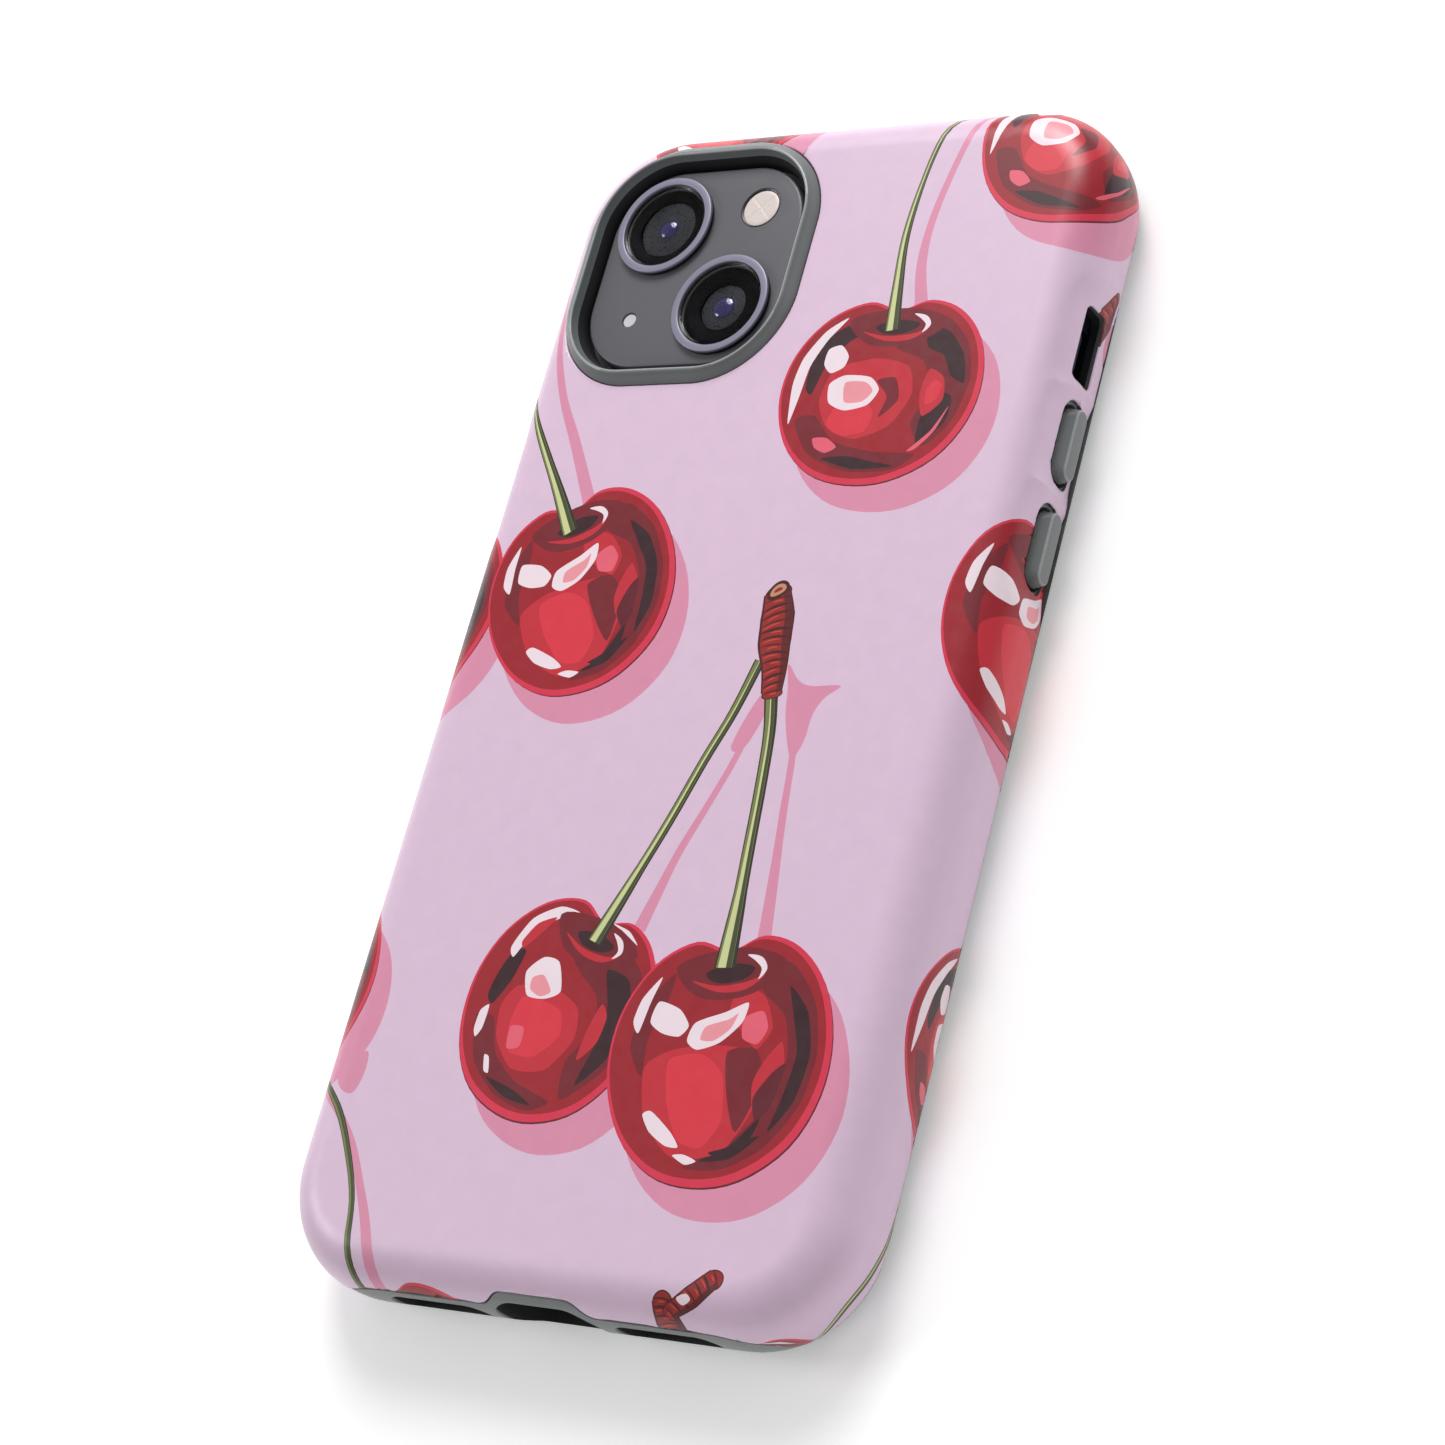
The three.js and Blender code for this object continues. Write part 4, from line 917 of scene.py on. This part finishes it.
# Name, colour, roughness, how far the colour varies, grain in repeats per metre, its depth in mm.
COVER_GLASS = clear_glass()
SOFT_GREY = surface("soft_liner_grey", (112, 116, 116), 0.36, 0.05, 3500, 0.012)
# Painted shade: near-black rubber standing in for the shade deep in the camera well, the ringer
# slot, the bottom openings and on the key covers' lower flanks.
PAINTED_SHADE_GREY = surface("soft_liner_painted_shade", (26, 27, 29), 0.6, 0.06, 3500, 0.012)
# Painted highlight: pale rubber standing in for the light line along the camera rim's inner crest
# and the key covers' ridges.
PAINTED_HIGHLIGHT_GREY = surface("soft_liner_painted_highlight", (150, 153, 154), 0.3, 0.05, 3500, 0.012)
PHONE_METAL = surface("anodised_midnight", (44, 47, 56), 0.34, 0.05, 6000, 0.004, metal=0.7)
RINGER_FINISH = surface("anodised_ringer", (74, 78, 98), 0.3, 0.05, 6000, 0.004, metal=0.3)
PLATEAU_GREY = surface("plateau_matte_glass", (88, 88, 94), 0.42, 0.03, 5000, 0.003, patch=90)
RING_FINISH = surface("lens_ring_anodised", (136, 134, 153), 0.36, 0.04, 5000, 0.002, metal=0.3)
BEZEL_FINISH = surface("lens_bezel_metal", (80, 80, 76), 0.4, 0.05, 4000, 0.001, metal=0.2)
BLACK_FINISH = surface("black_barrel", (12, 12, 14), 0.35, 0.1, 3000, 0.006)
BLACK_GLOSS = surface("black_barrel_mask", (4, 4, 6), 0.6, 0.08, 900, 0.001, rough_vary=0.02,
                      specular=0.05)
DISC_FINISH = surface("lens_disc_grey", (44, 44, 47), 0.3, 0.06, 3000, 0.002, specular=0.3)
PUPIL_FINISH = surface("lens_pupil_violet", (30, 17, 88), 0.1, 0.2, 900, 0.001, metal=0.15,
                       rough_vary=0.02, coat=1.0)
FLASH_FINISH = surface("flash_lens_cream", (216, 203, 197), 0.3, 0.04, 2400, 0.02, patch=700)
STEEL_FINISH = surface("bright_steel", (176, 178, 182), 0.3, 0.05, 4000, 0.004, metal=0.9)
MESH_FINISH = surface("rear_mic_grey", (196, 196, 200), 0.45, 0.08, 6000, 0.03)
BLACK_PLASTIC = surface("black_plastic", (24, 24, 26), 0.5, 0.1, 2500, 0.012)
BOARD_FINISH = surface("board_green", (32, 56, 44), 0.5, 0.15, 1800, 0.02, patch=600)
CELL_FINISH = surface("cell_film_grey", (44, 44, 46), 0.45, 0.06, 1200, 0.01)
COPPER_FINISH = surface("coil_copper", (190, 112, 70), 0.34, 0.08, 3500, 0.01, metal=0.95)
SCREEN_GLASS = surface("screen_glass", (10, 10, 14), 0.08, 0.1, 800, 0.001, rough_vary=0.02)

# ---- Case


def plate(half, layers, steps=12, centre=(0, 0)):
    """A solid whose outline is drawn in from half at each layer (z, inset, corner)."""
    layers = [(z, half[0] - inset, half[1] - inset, corner) for z, inset, corner in layers]
    return loft_data(layers, steps, centre)


def plateau_form(layers, steps=20):
    """The camera plateau's outline, grown by so much at each layer (z, grow)."""
    layers = [(z, -grow, PLATEAU_CORNER + grow) for z, grow in layers]
    return solid(plate((PLATEAU_HALF, PLATEAU_HALF), layers, steps, CAMERA))


def case_solid(side, back, steps=9):
    """The case's outer form, moved inwards by side at its walls and by back at its back."""
    turn = [QUARTER * k / steps for k in range(steps + 1)]
    layers = []
    for a in turn[::-1]:
        inset = side + (FOOT_INSET - side * FOOT_INSET / FOOT_RISE) * (1 - math.cos(a))
        layers.append((FOOT_RISE - FOOT_RISE * math.sin(a), inset, CORNER - inset))
    for a in turn:
        inset = side + (CROWN - side) * (1 - math.cos(a))
        layers.append((TOP - CROWN + (CROWN - back) * math.sin(a), inset, CORNER - inset))
    return solid(plate((SIDE, END), layers, 14), "soft_liner")


def cutout_solid(grow):
    """The bare part of the bottom end as a solid, along Y."""
    half = cutout_section(grow)
    outline = np.vstack([half, half[:0:-1] * (-1, 1)])
    count = len(outline)
    front, back = (np.insert(outline, 1, y, axis=1) for y in (-END - 1, -END + CORNER))
    rows = np.arange(2 * count).reshape(2, count).tolist()
    return solid((np.vstack([front, back]), [rows[0], *joined(rows), rows[1][::-1]]))


END_HOLES = [  # middle x, middle z, half width, half height, corner
    (-15.6, PHONE_MIDDLE, 6.6, 2.2, 2.15), (15.6, PHONE_MIDDLE, 6.6, 2.2, 2.15),
    (0, (TOP - 1.4) / 2, 6.8, (TOP - 4.6) / 2, 3.6),
]
SLOT_HALF, SLOT_Z = (SLOT_HIGH - SLOT_LOW) / 2, (SLOT_HIGH + SLOT_LOW) / 2


def end_hole(x, z, hx, hz, corner):
    """An opening through the bottom wall with a softly flared mouth."""
    depth = END - PHONE_END + 1.1
    layers = [(0, 0), (depth - 2.1, 0)]
    layers += [(depth - out, grow) for out, grow in (
        (1.5, 0.01), (1.3, 0.05), (1.12, 0.12), (0.97, 0.24), (0.8, 0.45))]
    data = plate((hx, hz), [(out, -grow, corner + grow) for out, grow in layers], 10)
    return solid(to_bottom(data, x, -END + depth - 1, z))


def liner_cuts():
    """What is taken out of the liner: phone, camera window, screen window and side openings."""
    low, high = PHONE_FRONT - PHONE_GAP, PHONE_BACK + PHONE_GAP
    phone = plate((PHONE_SIDE + 0.15, PHONE_END + 0.15), [
        (low, 0.9, 10.5), (low + 0.27, 0.27, 11.13), (low + 0.9, 0, 11.4),
        (high - 0.9, 0, 11.4), (high - 0.27, 0.27, 11.13), (high, 0.9, 10.5)])
    screen = plate((PHONE_SIDE, PHONE_END), [
        (-1, 0.4, 10.8), (0, 1.15, 10.2), (0.35, 1.5, 9.75), (3, 1.55, 9.7)], 14)
    cuts = [solid(phone), plateau_form([(PHONE_FRONT + 2, 0.55), (TOP + 2, 0.95)]), solid(screen)]
    for name, side in KEYS:
        low, high = node_box(name + "_cover")
        length, height = (high[1] - low[1]) / 2 + KEY_GAP, (high[2] - low[2]) / 2 + KEY_GAP
        key = block(height, length, height - 0.1, 0, 6)
        cuts.append(solid(to_side(key, side, PHONE_SIDE - 1, (low[1] + high[1]) / 2, PHONE_MIDDLE)))
    slot = plate((SLOT_HALF, 4.75), [(0, -0.05, 0.9), (1.9, -0.08, 0.9), (6, -0.35, 1.1)], 8)
    cuts.append(solid(to_side(slot, 1, PHONE_SIDE, RINGER_Y, SLOT_Z)))
    return cuts + [end_hole(*values) for values in END_HOLES]


def camera_rim():
    """The raised surround of the cameras: up its outside, over its crest and down its inside."""
    top = RIM_TOP
    layers = [
        (10.4, RIM_HALF, RIM_CORNER), (TOP - 0.1, RIM_HALF, RIM_CORNER), (TOP + 0.08, 16.98, 12.2),
        (TOP + 0.3, 16.74, 11.86), (TOP + 0.6, 16.4, 11.36), (top - 0.34, 16.12, 10.94),
        (top - 0.16, 16.0, 10.76), (top - 0.05, 15.86, 10.56), (top, 15.7, 10.32),
        (top - 0.01, 15.56, 10.1), (top - 0.06, 15.46, 9.92), (top - 0.16, 15.4, 9.8),
        (top - 0.45, 15.34, 9.74), (top - 1.2, 15.12, 9.6), (PLATEAU_TOP, 14.75, 9.45),
        (10.4, 14.7, 9.4)]
    layers = [(z, half, half, corner) for z, half, corner in layers]
    return solid(loft_data(layers, 22, CAMERA, capped=False))


def shade_liner(mesh):
    """Painted shade on the walls of the camera well, the ringer slot and the bottom openings, and a
    painted highlight along the camera rim's inner crest.
    """
    places = np.array([tuple(f.center) for f in mesh.polygons]) / MM
    normals = np.abs([tuple(f.normal) for f in mesh.polygons])
    x, y, z = places.T
    # Painted shade: the walls deep in the well, the slot and the bottom openings get the near-black
    # rubber.
    in_well = box_distance(places[:, :2], CAMERA, (15.3, 15.3), 10.0) < 0
    in_well &= (normals[:, 2] < 0.7) & (z > PHONE_BACK) & (z < TOP - 0.1)
    in_slot = box_distance(places[:, 1:], (RINGER_Y, SLOT_Z), (4.9, SLOT_HALF + 0.15), 1.0) < 0
    in_slot &= x > PHONE_SIDE - 0.5
    in_ends = np.zeros(len(places), bool)
    for mid_x, mid_z, hx, hz, corner in END_HOLES:
        half = (hx + 0.4, hz + 0.4)
        in_ends |= box_distance(places[:, ::2], (mid_x, mid_z), half, corner + 0.4) < 0
    in_ends &= (normals[:, 1] < 0.3) & (y < 0.2 - PHONE_END) & (y > 0.22 - END)
    # Painted highlight: a narrow band on the rim's inner crest gets the pale rubber.
    crest = box_distance(places[:, :2], CAMERA, (15.42, 15.42), 9.85)
    on_crest = (crest > -0.06) & (crest < 0.3) & (z > RIM_TOP - 0.2)
    mesh.polygons.foreach_set(
        "material_index", np.where(on_crest, 2, in_well | in_slot | in_ends).astype(np.int32))


def make_liner():
    liner = case_solid(WALL + LAYER_GAP, BACK + LAYER_GAP)
    lip = combine(case_solid(0, 0), [solid(block(60, 100, 1, -1, SHELL_EDGE - 0.1))], "INTERSECT")
    band = combine(case_solid(0.06, 0.06), [cutout_solid(-0.16)], "INTERSECT")
    combine(liner, [lip, band], "UNION")
    combine(liner, liner_cuts(), "DIFFERENCE")
    combine(liner, [camera_rim()], "UNION")
    liner.name = liner.data.name = "soft_liner"
    soften(liner, 28)
    settle(liner, HOME, "soft_liner", "inner_liner", SOFT_GREY, PAINTED_SHADE_GREY, PAINTED_HIGHLIGHT_GREY)
    shade_liner(liner.data)


def make_cover(name, side):
    """A volume or side key's cover: a ridge on a foot sunk in the liner, with a painted highlight on
    the ridge's edge and painted shade on its lower flank and foot.
    """
    low, high = node_box(name + "_cover")
    length, height = (high[1] - low[1]) / 2, (high[2] - low[2]) / 2
    inner, outer = sorted((abs(low[0]), abs(high[0])))
    deep = outer - inner
    layers = [
        (0, height, length), (deep - 1.9, height, length),
        (deep - 1.78, height - 0.03, length - 0.02), (deep - 1.68, height - 0.13, length - 0.08),
        (deep - 1.55, height - 0.32, length - 0.14), (deep - 1.05, height - 0.6, length - 0.2),
        (deep - 0.24, 1.24, length - 0.34),
        (deep - 0.1, 1.12, length - 0.41), (deep - 0.02, 0.98, length - 0.52),
        (deep, 0.84, length - 0.66)]
    data = loft_data([(z, h, l, h - 0.02) for z, h, l in layers])
    data = to_side(data, side, inner, (low[1] + high[1]) / 2, PHONE_MIDDLE)
    obj = solid(data, name + "_soft_cover")
    soften(obj, 25)
    settle(obj, name, "soft_liner", name + "_cover", SOFT_GREY, PAINTED_HIGHLIGHT_GREY, PAINTED_SHADE_GREY)
    # Painted highlight on the faces just under the outer face; painted shade on the faces more than
    # 1.4 mm under it.
    for polygon in obj.data.polygons:
        under = outer - abs(polygon.center.x) / MM
        polygon.material_index = 1 if 0.03 < under < 0.22 else 2 if under > 1.4 else 0


def make_ringer():
    low, high = node_box("ringer_switch")
    _, half_y, half_z = (high - low) / 2
    _, y, z = (high + low) / 2
    data = plate((half_z, half_y), [
        (-1.45, 0, 0.7), (-0.42, 0, 0.7), (-0.3, 0.02, 0.68), (-0.12, 0.12, 0.6),
        (-0.03, 0.26, 0.5), (0, 0.42, 0.4)], 8)
    obj = solid(to_side(data, 1, high[0], y, z), "ringer_slider")
    soften(obj, 25)
    settle(obj, "ringer", "anodised_metal", "ringer_switch", RINGER_FINISH)


# ---- Cameras


def make_plateau():
    """The phone's back glass with the camera plateau on it, open under the cameras."""
    z, top = PHONE_BACK, PLATEAU_TOP
    name = "camera_plateau_and_back"
    glass = solid(plate(GLASS_HIGH[:2], [
        (GLASS_LOW[2], 0, 11.25), (z - 0.4, 0, 11.25), (z - 0.12, 0.28, 11.0), (z, 0.9, 10.35)],
        14), name)
    combine(glass, [plateau_form([
        (z - 0.3, 0.1), (z + 0.3, 0.0), (top - 0.45, 0.0), (top - 0.26, -0.04), (top - 0.1, -0.15),
        (top - 0.02, -0.3), (top, -0.45)])], "UNION")
    holes = [plateau_form([(GLASS_LOW[2] - 1, -1.2), (top - 0.8, -1.2)], 12)]
    bore = RING_RADIUS - 0.4
    for place, radius in ((RING_1, bore), (RING_2, bore), (FLASH, FLASH_RADIUS + 0.08), (MIC, 1.0)):
        holes.append(solid(turn_data([
            (0, top - 3), (radius, top - 3), (radius, top - 0.1), (radius + 0.03, top - 0.04),
            (radius + 0.1, top + 0.02), (radius + 0.1, top + 1), (0, top + 1)], place)))
    combine(glass, holes, "DIFFERENCE")
    glass.name = glass.data.name = name
    soften(glass, 25)
    settle(glass, HOME, "matte_glass", "back_glass", PLATEAU_GREY)


def section(radius, level, *offsets):
    """A section's (radius, z) pairs from offsets to a radius and a level."""
    return [(radius + r, level + z) for r, z in offsets]


def rounded_section(inner, outer, low, high, edge, steps=4):
    """A ring's section with its two upper edges rounded."""
    points = [(inner, low), (outer, low)]
    for start, centre in enumerate((outer - edge, inner + edge)):
        for k in range(steps + 1):
            a = QUARTER * (start + k / steps)
            points.append((centre + edge * math.cos(a), high - edge + edge * math.sin(a)))
    return points


def make_lens(number, centre, disc, pupil):
    """One camera under its ring. disc and pupil are the radii of its grey disc and dark middle."""
    bore, rim = RING_RADIUS - 1.0, RING_RADIUS - 1.2
    low, high, plateau = COVER_BOTTOM, COVER_TOP, PLATEAU_TOP
    mask = low - 0.26
    face = mask - 0.46
    dome = [(pupil * math.cos(QUARTER * k / 8), 0.34 * math.sin(QUARTER * k / 8)) for k in range(8)]
    parts = {
        "ring": (RING_FINISH, "ring_metal", "lens_ring",
                 rounded_section(bore, RING_RADIUS, LENS_TOP - 0.34, LENS_TOP, 0.14)),
        # The black collar makes the ring's lower side black: painted shade along the ring's foot.
        "collar": (BLACK_FINISH, "ring_metal", "lens_ring", [
            (bore + 0.1, plateau - 0.3),
            *section(RING_RADIUS, plateau, (-0.42, -0.3), (-0.42, -0.05), (-0.02, 0.02)),
            (RING_RADIUS - 0.05, LENS_TOP - 0.33), (bore + 0.1, LENS_TOP - 0.33)]),
        "seal": (BLACK_FINISH, "ring_metal", "lens_ring", [
            (bore - 0.18, plateau - 1.4), (bore + 0.3, plateau - 1.4),
            *section(bore, LENS_TOP, (0.3, -0.4), (-0.02, -0.34), (-0.18, -0.42))]),
        "cover_glass": (COVER_GLASS, "dark_glass", "lens_cover", [
            (0, low), (rim, low), (rim, high - 0.05), (rim - 0.05, high), (0, high)]),
        "bezel": (BEZEL_FINISH, "steel", "lens_bezel", section(
            rim, low, (-0.26, -0.9), (0, -0.9), (0, -0.04), (-0.16, -0.05), (-0.23, -0.1),
            (-0.26, -0.16))),
        "barrel": (BLACK_GLOSS, "black_plastic", "camera_module", [
            (0, mask - 6), *section(rim - 0.28, mask, (0, -6), (0, 0), (-0.08, 0.04)),
            *section(disc, mask, (0.16, -0.12), (0.05, -0.17), (0, -0.24), (-0.02, -0.5)),
            (0, mask - 0.52)]),
        "disc": (DISC_FINISH, "black_plastic", "camera_module", [
            (0, face - 0.03), (disc - 0.04, face - 0.03), (disc - 0.04, face),
            (disc * 0.78, face + 0.01), (disc * 0.72, face + 0.03), (disc * 0.6, face + 0.03),
            (disc * 0.54, face + 0.01),
            *section(pupil, face, (0.35, 0.02), (0.2, 0.05), (0.08, 0.05)), (0, face + 0.04)]),
        "pupil": (PUPIL_FINISH, "dark_glass", "camera_module",
                  section(0, face + 0.06, (0, 0), *dome, (0, 0.34))),
    }
    for part, (material, slot, node, outline) in parts.items():
        lathe(f"lens_{number}_{part}", outline, centre, material, slot, f"{node}_{number}")


def make_flash():
    """Cream flash window, with the four faint lens cells under it."""
    spokes, rings = 96, 14
    radius, level = FLASH_RADIUS - 0.18, PLATEAU_TOP - 0.14
    angle = np.arange(spokes) / spokes * 4 * QUARTER
    x, y = np.cos(angle), np.sin(angle)
    from_lines = np.minimum(abs(x - y), abs(x + y)) / math.sqrt(2)
    vertices = [[(FLASH[0], FLASH[1], level)]]
    for i in range(1, rings + 1):
        r = radius * i / rings
        cell = 0.035 * np.minimum(1, r * from_lines / 0.22) * (i < 0.86 * rings)
        z = level + cell - (0.05 if i == rings else 0)
        vertices.append(np.column_stack([FLASH[0] + r * x, FLASH[1] + r * y, z]))
    vertices.append(vertices[-1] * (1, 1, 0) + (0, 0, PLATEAU_TOP - 1.0))
    rows = [[0]] + (1 + np.arange((rings + 1) * spokes)).reshape(-1, spokes).tolist()
    faces = [face[:1] + face[:0:-1] for face in joined(rows)] + [rows[-1][::-1]]
    obj = solid((np.vstack(vertices), faces), "flash_window")
    soften(obj, 40)
    settle(obj, HOME, "flash_plastic", "flash_lens", FLASH_FINISH)


lathe("flash_gasket", section(FLASH_RADIUS, PLATEAU_TOP, (-0.16, -0.6), (0.06, -0.6), (0.06, -0.05),
                              (-0.02, -0.03), (-0.16, -0.09)),
      FLASH, BLACK_FINISH, "flash_plastic", "flash_lens")
make_shell()
make_liner()
for key in KEYS:
    make_cover(*key)
make_ringer()
make_plateau()
make_lens(1, RING_1, 3.95, 1.3)
make_lens(2, RING_2, 3.2, 1.5)
make_flash()
lathe("rear_mic_disc", section(0, PLATEAU_TOP, (0, -0.9), (0.95, -0.9), (0.95, -0.24), (0.88, -0.18),
                               (0.5, -0.2), (0, -0.22)),
      MIC, MESH_FINISH, "steel", "rear_mic_mesh", 48)

CARRIED = {
    PHONE_METAL: "volume_up_button volume_down_button side_key_button phone_frame sim_tray",
    BLACK_PLASTIC: "volume_up_switch volume_down_switch side_key_switch display_panel port_tongue "
                   "loudspeaker front_camera earpiece_speaker earpiece_mesh speaker_mesh "
                   "microphone_mesh",
    SCREEN_GLASS: "display_glass",
    STEEL_FINISH: "haptic_motor port_shell end_screw_left end_screw_right magnet_ring",
    CELL_FINISH: "battery",
    BOARD_FINISH: "logic_board",
    COPPER_FINISH: "charging_coil",
}
for material, names in CARRIED.items():
    for name in names.split():
        give(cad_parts[name], material)

# ---- Floor, light and camera

FLOOR_HALF = 40000
STUDIO_LEVEL, SEEN_LEVEL = 0.42, 1.0


def make_floor():
    material, tree, bsdf = shader("pale_floor")
    set_inputs(tree, bsdf, {
        "Base Color": (0.96, 0.96, 0.96, 1), "Roughness": 0.9, "Specular IOR Level": 0.1,
        "Emission Color": (1, 1, 1, 1), "Emission Strength": 0.22,
    })
    corners = [(x * FLOOR_HALF, y * FLOOR_HALF, 0) for x, y in ((-1, -1), (1, -1), (1, 1), (-1, 1))]
    obj = mesh_object("floor", corners, [(0, 1, 2, 3)])
    give(obj, material)


def add_light(name, kind, direction, power, place=(0, 0, 0)):
    data = bpy.data.lights.new(name, kind)
    data.energy = power
    obj = bpy.data.objects.new(name, data)
    obj.location = Vector(place) * MM
    obj.rotation_euler = Vector(direction).to_track_quat("Z", "Y").to_euler()
    bpy.context.scene.collection.objects.link(obj)
    return data


def make_lights():
    """Three broad suns, a soft panel past the top end, and a white room: the camera sees it
    white, and it lights the object less than that."""
    for name, direction, spread, power in (
            ("top_light", (-0.1, 1.0, 0.8), 26, 1.28),
            ("left_light", (-1.0, -0.05, 0.75), 20, 0.6),
            ("near_light", (0.75, -0.75, 0.9), 34, 0.12)):
        add_light(name, "SUN", direction, power).angle = math.radians(spread)
    way = Vector((-0.3, 1.0, 0.9)).normalized()
    panel = add_light("end_light", "AREA", way, 0.75, Vector((0, 60, 5)) + way * 420)
    panel.shape, panel.size = "DISK", 260 * MM
    world = bpy.data.worlds.new("studio")
    bpy.context.scene.world = world
    world.use_nodes = True
    tree = world.node_tree
    seen = add_node(tree, "LightPath", {}, "Is Camera Ray")
    set_inputs(tree, tree.nodes["Background"], {
        "Color": (1, 1, 1, 1), "Strength": ranged(tree, seen, STUDIO_LEVEL, SEEN_LEVEL, 0.0, 1.0),
    })


def make_camera():
    """The photograph's viewing angle: from the right, the bottom end and above, tilted."""
    data = bpy.data.cameras.new("camera")
    data.sensor_width, data.lens = 36, 90.04
    data.clip_start, data.clip_end = 0.01, 100
    obj = bpy.data.objects.new("camera", data)
    right = Vector((0.82668, 0.25024, -0.50397)).normalized()
    back = Vector((0.56240, -0.33959, 0.75391))
    back = (back - right * back.dot(right)).normalized()
    turn = Matrix((right, back.cross(right), back)).transposed().to_4x4()
    obj.matrix_world = Matrix.Translation(Vector((237.740, -146.533, 323.287)) * MM) @ turn
    bpy.context.scene.collection.objects.link(obj)
    bpy.context.scene.camera = obj


make_floor()
make_lights()
make_camera()
bpy.context.scene.view_settings.view_transform = "Standard"
